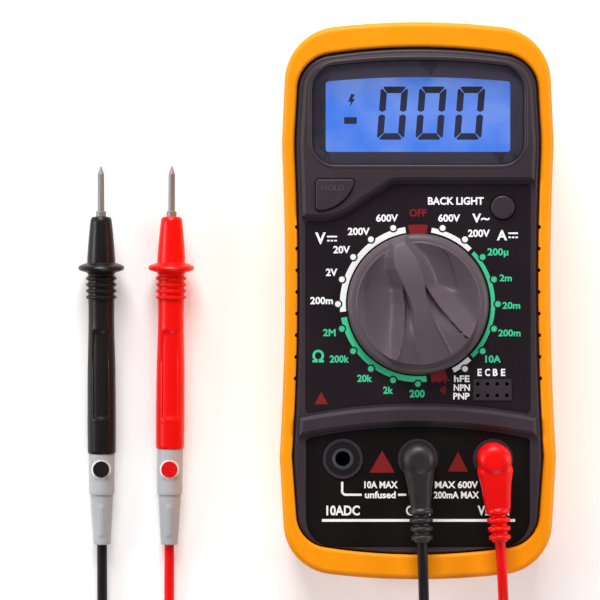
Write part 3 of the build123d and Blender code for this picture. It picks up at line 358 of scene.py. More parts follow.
def ink(name, base, rough=0.5, painted_glow=0.0):
    """Pad-printed ink: a little uneven in its cover. Its last argument makes it glow a little: painted light."""
    m = Finish(name)
    cover = m.noise(1500, 3, 0.6)
    m.set(Base_Color=m.mix(m.range(cover, 0.35, 0.65, 0, 1), shade(base, 0.92), shade(base, 1.0)),
          Roughness=m.range(cover, 0.3, 0.7, rough - 0.05, rough + 0.05))
    # the ink's glow stands in for light falling on it: painted light
    if painted_glow:
        m.set(Emission_Color=tuple(base), Emission_Strength=painted_glow)
    return m.data


def palette():
    return bpy.context.scene.meter_colours


def sizes():
    return bpy.context.scene.meter_sizes


def dress(material, *names):
    """Gives a CAD node, or several, a finished material."""
    for name in names:
        NODES[name].data.materials.clear()
        NODES[name].data.materials.append(material)


# ---------------------------------------------------------------- stage
class METER_OT_stage(bpy.types.Operator):
    """Sets the pale floor, the soft lights and the camera straight above the face"""

    bl_idname = "meter.stage"
    bl_label = "Stage"

    def execute(self, context):
        bm = bmesh.new()
        bmesh.ops.create_grid(bm, x_segments=1, y_segments=1, size=3.0)
        floor = piece_from(bm, "floor", smooth=False)
        m = Finish("floor_white")
        m.set(Base_Color=m.mix(m.noise(3, 2), (0.86, 0.86, 0.86, 1), (0.90, 0.90, 0.90, 1)))
        m.shader.inputs["Roughness"].default_value = 0.9
        m.shader.inputs["Emission Color"].default_value = (1, 1, 1, 1)
        m.shader.inputs["Emission Strength"].default_value = 0.22
        floor.data.materials.append(m.data)

        scene = context.scene
        scene.world = bpy.data.worlds.new("studio")
        scene.world.use_nodes = True
        sky = scene.world.node_tree.nodes["Background"]
        sky.inputs["Color"].default_value = (1.0, 1.0, 1.0, 1)
        sky.inputs["Strength"].default_value = 0.14
        scene.view_settings.view_transform = "Standard"

        middle = Vector((0, 0, 0.04))
        for name, place, size, power, tint in (
            ("key", (-0.15, 1.20, 0.74), 0.7, 25, (1.0, 0.99, 0.98)),
            ("fill", (0.25, -1.10, 0.80), 0.6, 3.5, (0.98, 0.98, 1.0)),
            ("left_strip", (-1.2, 0.15, 0.52), 0.5, 7, (1, 1, 1)),
            ("right_strip", (1.2, 0.10, 0.52), 0.5, 7, (1, 1, 1)),
        ):
            lamp = bpy.data.lights.new(name, "AREA")
            lamp.shape, lamp.size = "SQUARE", size
            lamp.energy, lamp.color = power, tint
            holder = bpy.data.objects.new(name, lamp)
            holder.location = place
            holder.rotation_euler = (middle - Vector(place)).to_track_quat("-Z", "Y").to_euler()
            scene.collection.objects.link(holder)

        lens = bpy.data.cameras.new("camera")
        view_width, distance = 0.1613, 0.900
        lens.sensor_width = 36
        lens.lens = 36 * distance / view_width
        lens.clip_start, lens.clip_end = 0.01, 20
        eye = bpy.data.objects.new("camera", lens)
        eye.location = (-0.0317, 0.0002, DIAL_TOP + distance)
        scene.collection.objects.link(eye)
        scene.camera = eye
        return {"FINISHED"}


# ---------------------------------------------------------------- leads
# the same routes as the solid model's, in millimetres
PLUG_AXIS_Z, PLUG_REACH, FIRST_RUN, COIL_STUB, COIL_Y = 44.5, 22.0, 23.5, 14.5, -145.0
CORD_LOW, COIL_LOW, COIL_HIGH = 1.4, 2.0, 8.0
TAIL_Y, TAIL_Z = -68.0, 2.75
GUARD_PLACE, GUARD_EDGE, GUARD_RADIUS = 77.6, 1.6, 6.5
DOT_UP = 21.3  # from the tail's end
LEAN = math.atan2(GUARD_RADIUS - TAIL_Z, GUARD_PLACE - GUARD_EDGE)
LEADS = {
    "black": {
        "jack": 0.0, "plug_turn": 2.3, "probe_x": -87.0, "probe_tilt": 0.0, "coil_x": -13.7, "enters": 1,
        "turns": -4.25, "leaves_from": (0, -15.5), "leaves_to": (-1, 0), "collar": 25.5,
        "run": [(-55, -160.5), (-80, -148), (-88.6, -121), (-87.0, -101), (-87.0, -84)],
    },
    "red": {
        "jack": JACK_PITCH / MM, "plug_turn": 4.0, "probe_x": -68.2, "probe_tilt": -0.5, "coil_x": 38.9,
        "enters": -1, "turns": 4.5, "leaves_from": (15.5, 0), "leaves_to": (0, 1), "collar": 26.9,
        "run": [(53.4, -97.5), (16, -100), (-26, -103.3), (-68.3, -103.5), (-68.3, -78)],
    },
}


def lead_route(lead):
    """The control points of one lead from its plug to its probe, in metres."""
    turn = math.radians(lead["plug_turn"])
    jack_y = FREE_JACK.y / MM
    out = Vector((math.sin(turn), -math.cos(turn), 0))
    leave = Vector((lead["jack"], jack_y, PLUG_AXIS_Z)) + out * PLUG_REACH
    droop = leave + out * FIRST_RUN
    radius = sizes().coil / MM
    enter_x = lead["coil_x"] + lead["enters"] * radius
    points = [leave, droop, Vector((enter_x, COIL_Y + COIL_STUB + FIRST_RUN, COIL_HIGH)),
              Vector((enter_x, COIL_Y + COIL_STUB, COIL_HIGH))]
    # the turns lie beside and on each other: (turn, radius, height) of the bundle's strands
    whole = abs(lead["turns"])
    at = [0, 1, 2, 3, whole - 0.35, whole]
    wide = [radius, radius + 2.4, radius + 2.4, radius - 0.3, radius - 2.5, radius]
    high = [COIL_HIGH, 6.5, 3.5, 5.1, 3.3, COIL_LOW]
    per_turn = 12
    steps = round(whole * per_turn)
    start = 0.0 if lead["enters"] > 0 else math.pi
    for i in range(steps + 1):
        done = i / steps * whole
        grow = 1.0 if i in (0, steps) else 1.02
        angle = start + math.copysign(done, lead["turns"]) * math.tau
        r = float(np.interp(done, at, wide)) * grow
        points.append(Vector((lead["coil_x"] + r * math.cos(angle), COIL_Y + r * math.sin(angle),
                              float(np.interp(done, at, high)))))
    (from_x, from_y), (to_x, to_y) = lead["leaves_from"], lead["leaves_to"]
    points.append(Vector((lead["coil_x"] + from_x + to_x * COIL_STUB, COIL_Y + from_y + to_y * COIL_STUB,
                          COIL_LOW)))
    points += [Vector((x, y, CORD_LOW)) for x, y in lead["run"]]
    points.append(Vector((lead["probe_x"], TAIL_Y, TAIL_Z)))
    return [p * MM for p in points]


def probe_place(lead):
    """Lays a probe that stands on its tail down on the floor, with its dot on top."""
    return (Matrix.Translation(Vector((lead["probe_x"], TAIL_Y, TAIL_Z)) * MM)
            @ Matrix.Rotation(math.radians(lead["probe_tilt"]), 4, "Z")
            @ Matrix.Rotation(LEAN - math.pi / 2, 4, "X"))


def fine_profile(corners, step=0.45):
    """Adds points along a turned profile, so that a surface can be pressed into it. In millimetres."""
    dense = [corners[0]]
    for (r0, z0), (r1, z1) in zip(corners, corners[1:]):
        pieces = max(1, int(math.hypot(r1 - r0, z1 - z0) / step))
        dense += [(r0 + (r1 - r0) * i / pieces, z0 + (z1 - z0) * i / pieces) for i in range(1, pieces + 1)]
    return [(r * MM, z * MM) for r, z in dense]


def ring_bumps(first, pitch, count, low, high, width):
    """Profile points for grip rings."""
    points = []
    for i in range(count):
        z = first + pitch * i
        points += [(low, z), (high - 0.08, z + 0.22), (high, z + 0.4), (high, z + width - 0.4),
                   (high - 0.08, z + width - 0.22), (low, z + width)]
    return points


def lead_plastic(name, base, rough):
    """Injection-moulded lead fittings: satin, with a faint flow mottle."""
    return moulded(name, base, rough=rough, grain=3200, depth=0.006, mottle=0.04, coat=0.08)


def knurled(name, base):
    """The plug's grip: a fine square knurl on its head, fading out along the arm, with painted highlight on its
    ridges and painted shade in its grooves.
    """
    m = Finish(name)
    place = m.place()
    x, y = m.along(0, place), m.along(1, place)

    half_pitch = 0.30 * MM

    def ridge(v):
        return m.node("ShaderNodeMath", {"operation": "PINGPONG"}, [v, half_pitch]) / half_pitch

    head = m.range(y, FREE_JACK.y - 7 * MM, FREE_JACK.y - 4 * MM, 0, 1)
    cells = m.node("ShaderNodeMath", {"operation": "MINIMUM"}, [ridge(x), ridge(y)]) * head
    cloud = m.noise(300, 3, 0.5, place)
    # the colour is lighter on the knurl's ridges and darker in its grooves: painted highlight and painted shade,
    # over a random tone
    m.set(Base_Color=m.mix(cells * 0.5 + cloud * 0.3, shade(base, 0.85), shade(base, 1.25)),
          Roughness=m.range(cloud, 0.3, 0.7, 0.42, 0.52),
          Normal=m.bump(cells, 0.05 * MM, 0.6, m.bump(m.noise(3000, 2, 0.5, place), 0.006 * MM, 0.5)))
    return m.data


def plug_body(name, lead, material, head_radius, neck):
    """A right-angled plug: domed head, arm narrowing to a ribbed strain relief."""
    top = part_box(f"{name}_plug_body")[1].z / MM
    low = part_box(f"{name}_plug_body")[0].z / MM
    bm = bmesh.new()
    dome = 2.7
    edge = [(0, low)] + [(head_radius, low), (head_radius, top - dome)]
    edge += [(head_radius - dome * (1 - math.cos(a)), top - dome + dome * math.sin(a))
             for a in (math.radians(15 * k) for k in range(1, 7))] + [(0, top)]
    spun(bm, [(r * MM, z * MM) for r, z in edge], steps=48)
    # the arm, as rings of a rounded section drawn along it
    rings = []
    for y, half_x, half_z in ((1.0, head_radius - 0.5, 3.9), (-3, neck + 1.1, 3.9), (-6.5, neck + 0.35, 3.6),
                              (-10.5, neck - 0.1, 3.1), (-13.2, neck - 0.35, 2.7)):
        ring = bmesh.ops.create_circle(bm, cap_ends=False, segments=40, radius=1)["verts"]
        for v in ring:
            a = math.atan2(v.co.y, v.co.x)
            c, s = math.cos(a), math.sin(a)
            v.co = Vector((math.copysign(abs(c) ** 0.75, c) * half_x, y,
                           PLUG_AXIS_Z + math.copysign(abs(s) ** 0.75, s) * half_z)) * MM
        rings.append(ring)
    for before, after in zip(rings, rings[1:]):
        edges = [e for ring in (before, after) for e in {e for v in ring for e in v.link_edges
                                                         if e.other_vert(v) in ring}]
        bmesh.ops.bridge_loops(bm, edges=list(set(edges)))
    for ring in (rings[0], rings[-1]):
        bmesh.ops.contextual_create(bm, geom=ring)
    # the strain relief, a turned core with four ribs
    turned = [(0, 11.5), (2.35, 11.5)]
    for i in range(4):
        z = 13.1 + 2.3 * i
        rib = 3.25 - 0.1 * i
        turned += [(2.1, z), (rib - 0.25, z + 0.05), (rib, z + 0.3), (rib, z + 1.05), (rib - 0.25, z + 1.3),
                   (2.1, z + 1.35)]
    turned += [(1.9, PLUG_REACH), (0, PLUG_REACH)]
    relief = bmesh.new()
    spun(relief, [(r * MM, z * MM) for r, z in turned], steps=40)
    bmesh.ops.rotate(relief, verts=relief.verts[:], cent=(0, 0, 0),
                     matrix=Matrix.Rotation(math.pi / 2, 3, "X"))
    bmesh.ops.translate(relief, verts=relief.verts[:], vec=(0, 0, PLUG_AXIS_Z * MM))
    spare = bpy.data.meshes.new("relief")
    relief.to_mesh(spare)
    relief.free()
    bm.from_mesh(spare)
    bpy.data.meshes.remove(spare)
    bmesh.ops.recalc_face_normals(bm, faces=bm.faces[:])
    bmesh.ops.rotate(bm, verts=bm.verts[:], cent=(0, 0, 0),
                     matrix=Matrix.Rotation(math.radians(lead["plug_turn"]), 3, "Z"))
    bmesh.ops.translate(bm, verts=bm.verts[:], vec=(lead["jack"] * MM, FREE_JACK.y, 0))
    body = piece_from(bm, f"{name}_plug")
    # welded into one skin and eased where the arm meets the head
    weld = body.modifiers.new("weld", "REMESH")
    weld.mode, weld.voxel_size, weld.use_smooth_shade = "VOXEL", 0.22 * MM, True
    ease = body.modifiers.new("ease", "SMOOTH")
    ease.factor, ease.iterations = 0.5, 3
    return finish_piece(body, material, f"{name}_plug", [f"{name}_plug_body"])


def probe_body(name, lead, material):
    """The handle: a turned form with grip rings and a guard, and a flat panel pressed into its top."""
    g = GUARD_PLACE
    collar = lead["collar"]
    profile = [(0, collar), (3.75, collar), (3.92, collar + 0.35), (3.98, collar + 8), (3.9, 49),
               (3.66, 58.5), (3.6, 63.0), (3.66, 68.0)]
    profile += ring_bumps(68.5, 1.75, 4, 3.68, 4.25, 1.15)
    profile += [(3.75, g - 2.0), (4.1, g - GUARD_EDGE - 0.05), (5.2, g - 1.35), (6.15, g - 0.95),
                (GUARD_RADIUS - 0.05, g - 0.35), (6.15, g + 0.2), (5.2, g + 0.65), (4.1, g + 0.95),
                (3.92, g + 1.15), (3.88, g + 2.4), (3.66, g + 5.6), (3.32, g + 9.4), (3.0, g + 12.5),
                (2.86, g + 13.3), (2.5, g + 13.75), (1.2, g + 14.0), (0, g + 14.0)]
    bm = bmesh.new()
    spun(bm, fine_profile(profile), steps=72)
    for v in bm.verts:
        along, across, up = v.co.z / MM, abs(v.co.x / MM), -v.co.y / MM
        if up > 0:
            press = (smoothstep(35.0, 36.2, along) * smoothstep(60.4, 58.8, along)
                     * smoothstep(2.35, 1.95, across))
            v.co.y += press * 0.42 * MM
            lip = (smoothstep(34.2, 35.0, along) * smoothstep(61.2, 60.4, along)
                   * smoothstep(3.0, 2.4, across)) - press
            v.co.y -= max(0.0, lip) * 0.08 * MM
    bmesh.ops.transform(bm, matrix=probe_place(lead), verts=bm.verts[:])
    body = piece_from(bm, f"{name}_probe")
    return finish_piece(body, material, "root", [f"{name}_probe_body"])


def probe_tail(name, lead, material):
    """The grey collar: a step, a long taper and a small raised key."""
    collar = lead["collar"]
    profile = [(0, 0), (2.15, 0), (2.4, 0.25), (2.45, 0.9), (3.15, 12.8), (3.2, 13.9), (3.5, 14.15),
               (3.58, 14.7), (3.62, collar - 0.3), (3.5, collar), (0, collar)]
    bm = bmesh.new()
    spun(bm, fine_profile(profile, 0.4), steps=72)
    for v in bm.verts:
        along, across, up = v.co.z / MM, abs(v.co.x / MM), -v.co.y / MM
        if up > 0:
            key = smoothstep(2.0, 2.8, along) * smoothstep(11.4, 10.8, along) * smoothstep(0.9, 0.6, across)
            v.co.y -= key * 0.22 * MM
    bmesh.ops.transform(bm, matrix=probe_place(lead), verts=bm.verts[:])
    tail = piece_from(bm, f"{name}_tail")
    return finish_piece(tail, material, "root", [f"{name}_probe_tail"])


def painted_rim_highlight(name, lead, material):
    """The pale ring round the dot, lying on the collar's curve: a painted highlight of the bevelled rim of the
    collar's hole.
    """
    inner, outer, skin = 2.2, 2.75, 3.62
    bm = bmesh.new()
    verts = [bm.verts.new((r * MM, 0, 0)) for r in (inner, outer)]
    edge = bm.edges.new(verts)
    bmesh.ops.spin(bm, geom=[*verts, edge], cent=(0, 0, 0), axis=(0, 0, 1), angle=math.tau, steps=56,
                   use_merge=True)
    bmesh.ops.remove_doubles(bm, verts=bm.verts[:], dist=1e-6)
    for v in bm.verts:
        x, y = v.co.x / MM, v.co.y / MM
        v.co = Vector((x, -math.sqrt(max(0.0, skin * skin - x * x)) - 0.04, DOT_UP + y)) * MM
    bmesh.ops.solidify(bm, geom=bm.faces[:], thickness=0.12 * MM)
    bmesh.ops.recalc_face_normals(bm, faces=bm.faces[:])
    bmesh.ops.transform(bm, matrix=probe_place(lead), verts=bm.verts[:])
    return finish_piece(piece_from(bm, f"{name}_painted_rim_highlight"), material, "root")


class METER_OT_leads(bpy.types.Operator):
    """Makes both test leads: cord and coil, plug, probe and collar"""

    bl_idname = "meter.leads"
    bl_label = "Test leads"

    def execute(self, context):
        grey = moulded("collar_grey", (0.49, 0.50, 0.52, 1), rough=0.32, grain=2800, depth=0.008, mottle=0.07,
                       coat=0.1)
        # a white sheet round each dot: a painted highlight of the rim of the collar's hole
        ring = ink("highlight_white_paint", palette().white_ink, 0.4)
        for name, lead in LEADS.items():
            base = palette().black_lead if name == "black" else palette().red_lead
            plastic = lead_plastic(f"{name}_plastic", shade(base, 1.0), 0.34)
            sheath = lead_plastic(f"{name}_sheath", shade(base, 1.0), 0.38)
            grip = knurled("black_grip", shade(base, 1.35)) if name == "black" else plastic
            head, neck = (4.4, 3.0) if name == "black" else (4.5, 3.75)
            plug = plug_body(name, lead, grip, head, neck)
            probe_body(name, lead, plastic)
            tail = probe_tail(name, lead, grey)
            seat = painted_rim_highlight(name, lead, ring)
            dress(ink(f"dot_{name}", shade(base, 0.9), 0.3), f"{name}_probe_dot")
            dress(metal("plug_brass", (0.75, 0.70, 0.58, 1), 0.2) if name == "black" else
                  bpy.data.materials["plug_brass"], f"{name}_plug_pin")

            route = lead_route(lead)
            curve = bpy.data.curves.new(f"{name}_cord", "CURVE")
            curve.dimensions = "3D"
            curve.resolution_u = 8
            spline = curve.splines.new("NURBS")
            spline.points.add(len(route) - 1)
            for point, place in zip(spline.points, route):
                point.co = (*place, 1)
            spline.order_u = 3
            spline.use_endpoint_u = True
            holder = bpy.data.objects.new(f"{name}_cord_line", curve)
            context.scene.collection.objects.link(holder)
            context.view_layer.update()
            line = bpy.data.meshes.new_from_object(holder)
            bpy.data.meshes.remove(line)
            curve.bevel_depth = sizes().cord / 2
            curve.bevel_resolution = 4
            curve.use_fill_caps = True
            context.view_layer.update()
            skin = bpy.data.meshes.new_from_object(holder)
            bpy.data.objects.remove(holder)
            bpy.data.curves.remove(curve)
            cord = bpy.data.objects.new(f"{name}_cord", skin)
            context.scene.collection.objects.link(cord)
            skin.shade_smooth()
            skin.materials.clear()
            skin.materials.append(sheath)
            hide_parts(f"{name}_lead_cord", f"{name}_lead_coil")
            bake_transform(cord)
        dress(metal("needle_steel", (0.30, 0.30, 0.30, 1), 0.46, metallic=0.45), "probe_tips")
        dress(moulded("tie_black", (0.02, 0.02, 0.02, 1), rough=0.5), "lead_ties")
        return {"FINISHED"}


# ---------------------------------------------------------------- selector
KNOB_GAP = 0.4  # between the selector and the dial, in millimetres
# crease lines of the selector at rest, as (x, y) from its middle in millimetres, from top to foot
BLADE_LEFT = [(-6.3, 17.6), (-6.6, 14.5), (-6.66, 12.4), (-6.0, 9.2), (-4.65, 6.3), (-3.3, 3.3),
              (-2.25, 0.64), (-1.5, -1.8), (-1.2, -5.5), (-0.9, -9.5), (-0.1, -13.3), (0.96, -17.0)]
BLADE_RIGHT = [(-3.9, 17.6), (-3.6, 16.4), (-2.25, 14.5), (-1.04, 12.9), (-0.1, 10.5), (0.7, 8.1),
               (1.3, 5.4), (1.62, 3.4), (2.3, 0.9), (3.4, -2.8), (4.7, -5.8), (6.5, -9.0), (8.4, -12.7),
               (10.4, -17.0)]
FOOT_LEFT = [(-4.2, 3.2), (-3.7, 0.0), (-3.7, -3.6), (-4.1, -7.6), (-4.9, -11.9), (-5.9, -15.5),
             (-6.3, -17.0)]
FOOT_RIGHT = [(1.5, 5.6), (2.57, 3.6), (3.9, 1.44), (5.5, -0.7), (7.4, -2.8), (9.25, -5.0), (11.1, -7.1),
              (13.5, -9.3), (15.5, -11.2), (20.0, -17.0)]


def crease(points, y):
    """Where a crease line lies across the selector, at each height y."""
    xs, ys = np.array(points[::-1]).T
    return np.interp(y, ys, xs)


def soft_max(a, b, ease):
    return 0.5 * (a + b + np.sqrt((a - b) ** 2 + ease * ease))


def ramp(low, high, value):
    t = np.clip((value - low) / (high - low), 0, 1)
    return t * t * (3 - 2 * t)


def selector_height(x, y):
    """Height of the selector's surface above the dial, in millimetres."""
    r = np.hypot(x, y)
    top = 9.1 - 0.016 * np.clip(y - 4, 0, None) ** 2 - 0.0075 * np.clip(2 - y, 0, None) ** 2
    left, right = crease(BLADE_LEFT, y), crease(BLADE_RIGHT, y)
    foot_left, foot_right = crease(FOOT_LEFT, y), crease(FOOT_RIGHT, y)
    # two dished bowls
    bowl = 0.8 + 0.0078 * r * r + 0.0010 * np.clip(r - 8, 0, None) ** 3
    # the upper blade, with steep hollow flanks
    flank = np.clip(left - x, 0, None) + np.clip(x - right, 0, None)
    blade = top - 2.6 * flank + 0.10 * flank ** 2
    blade = np.where(flank > 9, bowl - 3, blade)
    crown = 0.10 * np.clip(1 - np.abs(2 * (x - left) / (right - left) - 1), 0, 1) ** 0.5
    blade = blade + np.where(flank <= 0, crown, 0)
    # the foot fans out below the middle: ridges with flutes between them
    fan = ramp(5.8, 3.0, y)
    ridge_left = top - 2.3 + 1.9 * ramp(3.2, -13, y)
    ridge_right = top - 1.5 + 1.1 * ramp(4.0, -9, y)
    span_left = np.clip((x - foot_left) / (left - foot_left), 0, 1)
    span_right = np.clip((foot_right - x) / np.maximum(foot_right - right, 0.05), 0, 1)
    flute_left = ridge_left + (top - ridge_left) * span_left - (
        (0.55 + 1.5 * ramp(-9, 1, y)) * (4 * span_left * (1 - span_left)) ** 0.8)
    flute_right = ridge_right + (top - ridge_right) * span_right - (
        (0.25 + 1.9 * ramp(-9, 3, y)) * (4 * span_right * (1 - span_right)) ** 0.8)
    middle = top - 0.35 * ramp(-2, -12, y) * (
        4 * np.clip((x - left) / (right - left), 0, 1) * np.clip((right - x) / (right - left), 0, 1))
    inside = np.where(x < left, flute_left, np.where(x > right, flute_right, middle))
    out = np.clip(foot_left - x, 0, None)
    away = np.clip(x - foot_right, 0, None)
    wall_left = ridge_left - 1.9 * out + 0.05 * out ** 2
    wall_right = ridge_right - 1.25 * away + 0.04 * away ** 2
    foot = np.where(x < foot_left, wall_left, np.where(x > foot_right, wall_right, inside))
    foot = np.where(out + away > 10, bowl - 3, foot)
    raised = blade * (1 - fan) + foot * fan
    skin = soft_max(bowl, raised, 1.9)
    # a fine raised line along each ridge of the foot
    for line, start, tall in ((FOOT_LEFT, 3.0, 0.20), (FOOT_RIGHT, 5.0, 0.22), (BLADE_LEFT, 0.0, 0.14),
                              (BLADE_RIGHT, 3.0, 0.22)):
        near = np.exp(-((x - crease(line, y)) / 0.30) ** 2)
        skin = skin + tall * near * ramp(start + 1.0, start - 1.0, y) * ramp(17.5, 16.5, r)
    # the slit beside the outer end of the right ridge
    slit = np.exp(-((x - crease(FOOT_RIGHT, y) + 0.35) / 0.16) ** 2) * ramp(-3.8, -5.2, y)
    skin = skin - 0.75 * slit
    # rim, stepped down round the bowls, and its rounded edge
    dip = ramp(16.3, 16.75, r)
    rim = 3.3 - 0.16 * np.clip(r - 16.7, 0, None) ** 2
    tip = np.where(y > 0, ramp(1.4, 0.2, np.clip(left - x, 0, None) + np.clip(x - right, 0, None)), 0)
    rim = rim + tip * np.clip(top - 0.2 - rim, 0, None) * ramp(18.8, 16.9, r)
    skin = skin * (1 - dip) + np.minimum(skin, rim) * dip
    edge = 0.9
    over = np.clip(r - (KNOB_RADIUS / MM - edge), 0, edge)
    return skin - (edge - np.sqrt(np.clip(edge ** 2 - over ** 2, 0, None)))


class METER_OT_selector(bpy.types.Operator):
    """Makes the rotary selector: its dished bowls, curved blade and fluted foot"""

    bl_idname = "meter.selector"
    bl_label = "Selector"

    def execute(self, context):
        radius = KNOB_RADIUS / MM
        low = DIAL_TOP / MM + KNOB_GAP
        rings, spokes = 112, 288
        skirt = 0.35
        bm = bmesh.new()
        radii = [radius * (i / rings) for i in range(rings + 1)]
        verts = [bm.verts.new((r * MM, 0, 0)) for r in radii]
        edges = [bm.edges.new(pair) for pair in zip(verts, verts[1:])]
        bmesh.ops.spin(bm, geom=[*verts, *edges], cent=(0, 0, 0), axis=(0, 0, 1), angle=math.tau,
                       steps=spokes, use_merge=True)
        bmesh.ops.remove_doubles(bm, verts=bm.verts[:], dist=1e-6)
        flat = np.array([v.co for v in bm.verts]) / MM
        heights = selector_height(flat[:, 0], flat[:, 1])
        for v, h in zip(bm.verts, heights):
            v.co.z = (low - KNOB_GAP + float(h)) * MM
        # the side wall, down to a small chamfer over the dial
        side = [e for e in bm.edges if e.is_boundary]
        for drop, inset in ((None, 0.0), (skirt, 0.0), (0.0, skirt)):
            grown = bmesh.ops.extrude_edge_only(bm, edges=side)
            fresh = [g for g in grown["geom"] if isinstance(g, bmesh.types.BMVert)]
            for v in fresh:
                reach = math.hypot(v.co.x, v.co.y)
                v.co.x *= (radius - inset) * MM / reach
                v.co.y *= (radius - inset) * MM / reach
                v.co.z = (low + (1.2 if drop is None else drop)) * MM
            side = [g for g in grown["geom"] if isinstance(g, bmesh.types.BMEdge) and g.is_boundary]
        bmesh.ops.contextual_create(bm, geom=side)
        bmesh.ops.recalc_face_normals(bm, faces=bm.faces[:])
        bmesh.ops.translate(bm, verts=bm.verts[:], vec=(SELECTOR.x, SELECTOR.y, 0))
        knob = piece_from(bm, "selector", angle=math.radians(50))
        finish_piece(knob, moulded("selector_plastic", palette().knob, rough=0.40, grain=2400, depth=0.010,
                                   mottle=0.05, coat=0.05), "knob", ["knob"])
        # the hub that reaches down to the contact carrier
        hub = bmesh.new()
        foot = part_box("contact_carrier")[1].z / MM - 0.7
        spun(hub, [(r * MM, z * MM) for r, z in ((0, foot), (7.6, foot), (8.0, foot + 0.4), (8.0, low + 0.1),
                                                 (0, low + 0.1))], axis_at=(SELECTOR.x, SELECTOR.y, 0))
        finish_piece(piece_from(hub, "selector_hub"), bpy.data.materials["selector_plastic"], "knob")
        return {"FINISHED"}


# ---------------------------------------------------------------- dial print
# (words, x, y, cap height, width) in millimetres
WHITE_LABELS = [
    ("600V", -8.3, 22.3, 1.95, 5.9), ("600V", 8.4, 22.3, 1.95, 5.9), ("200V", -15.9, 18.7, 1.95, 5.9),
    ("20V", -20.5, 13.8, 1.95, 4.5), ("2V", -23.2, 7.7, 1.95, 3.1), ("200m", -25.9, 0.1, 1.9, 6.1),
    ("V", -26.2, 16.9, 3.1, 2.9), ("200V", 16.4, 18.2, 1.95, 5.9), ("V", 15.8, 22.3, 2.4, 2.4),
    ("~", 18.1, 22.3, 2.4, 2.3), ("A", 22.6, 17.7, 2.7, 2.8), ("hFE", 11.8, -20.9, 1.75, 4.2),
    ("NPN", 11.8, -23.3, 1.75, 4.4), ("PNP", 11.7, -25.6, 1.75, 4.4), ("E", 16.6, -19.2, 1.9, 1.15),
    ("C", 18.7, -19.2, 1.9, 1.35), ("B", 20.8, -19.2, 1.9, 1.3), ("E", 22.9, -19.2, 1.9, 1.15),
    ("BACK LIGHT", 10.2, 26.9, 2.0, 15.0),
]
GREEN_LABELS = [
    ("200µ", 21.5, 13.2, 1.9, 5.6), ("2m", 23.6, 6.2, 1.8, 3.3), ("20m", 25.1, -1.2, 1.8, 4.8),
    ("200m", 24.6, -8.6, 1.8, 6.0), ("10A", 20.2, -15.6, 1.9, 4.2), ("2M", -23.8, -8.5, 1.9, 3.4),
    ("Ω", -26.8, -14.9, 3.1, 3.1), ("200k", -21.1, -15.6, 1.9, 5.2), ("20k", -14.3, -20.8, 1.9, 4.0),
    ("2k", -8.0, -24.0, 1.9, 2.7), ("200", -0.2, -24.9, 2.0, 4.1),
]
# clockwise from straight up, in degrees, and the width of each arc
ARCS = {
    "white": [(-95.8, -9.5, 1.6), (10.4, 43.8, 1.3), (136.6, 152.0, 1.3)],
    "green": [(46.9, 134.0, 1.1), (173.4, 259.8, 1.6)],
    "red": [(-7.0, 7.0, 2.4), (158.0, 170.0, 2.4)],
}
STOPS = 20
WHITE_STOPS, GREEN_STOPS = (1, 2, 8, 15, 16, 17, 18, 19), (3, 4, 5, 6, 7, 10, 11, 12, 13, 14)
SUNK = 0.01 * MM  # how far the foot of the print lies in its plate


def words_on(bm, labels, top):
    """Prints a table of labels on a plate."""
    for words, x, y, cap, wide in labels:
        letter(bm, words, x * MM, y * MM, cap * MM, top - SUNK, sizes().ink + SUNK, wide * MM)


def bar(bm, x, y, wide, tall, top):
    """A printed bar or dash, in millimetres, centred on a point."""
    made = bmesh.ops.create_cube(bm, size=1)["verts"]
    depth = sizes().ink + SUNK
    bmesh.ops.transform(bm, verts=made, matrix=Matrix.Translation((x * MM, y * MM, top + depth / 2 - SUNK))
                        @ Matrix.Diagonal((wide * MM, tall * MM, depth, 1)))


def triangle(bm, x, y, wide, tall, top):
    """A plain printed triangle, in millimetres."""
    plate(bm, [((x - wide / 2) * MM, (y - tall / 2) * MM), ((x + wide / 2) * MM, (y - tall / 2) * MM),
               (x * MM, (y + tall / 2) * MM)], top - SUNK, sizes().ink + SUNK)


def direct_sign(bm, x, y, wide, top):
    """The sign for direct current: one line over three dashes."""
    bar(bm, x, y + 0.55, wide, 0.42, top)
    for i in (-1, 0, 1):
        bar(bm, x + i * wide * 0.36, y - 0.55, wide * 0.25, 0.42, top)


def stop_discs(bm, stops, radius, proud):
    """A printed disc at each stop of the selector, counted clockwise from straight up. In millimetres."""
    reach = sizes().dot_radius
    for stop in stops:
        a = stop * math.tau / STOPS
        disc(bm, (SELECTOR.x + reach * math.sin(a), SELECTOR.y + reach * math.cos(a)), radius * MM,
             DIAL_TOP - SUNK, sizes().ink + proud * MM)


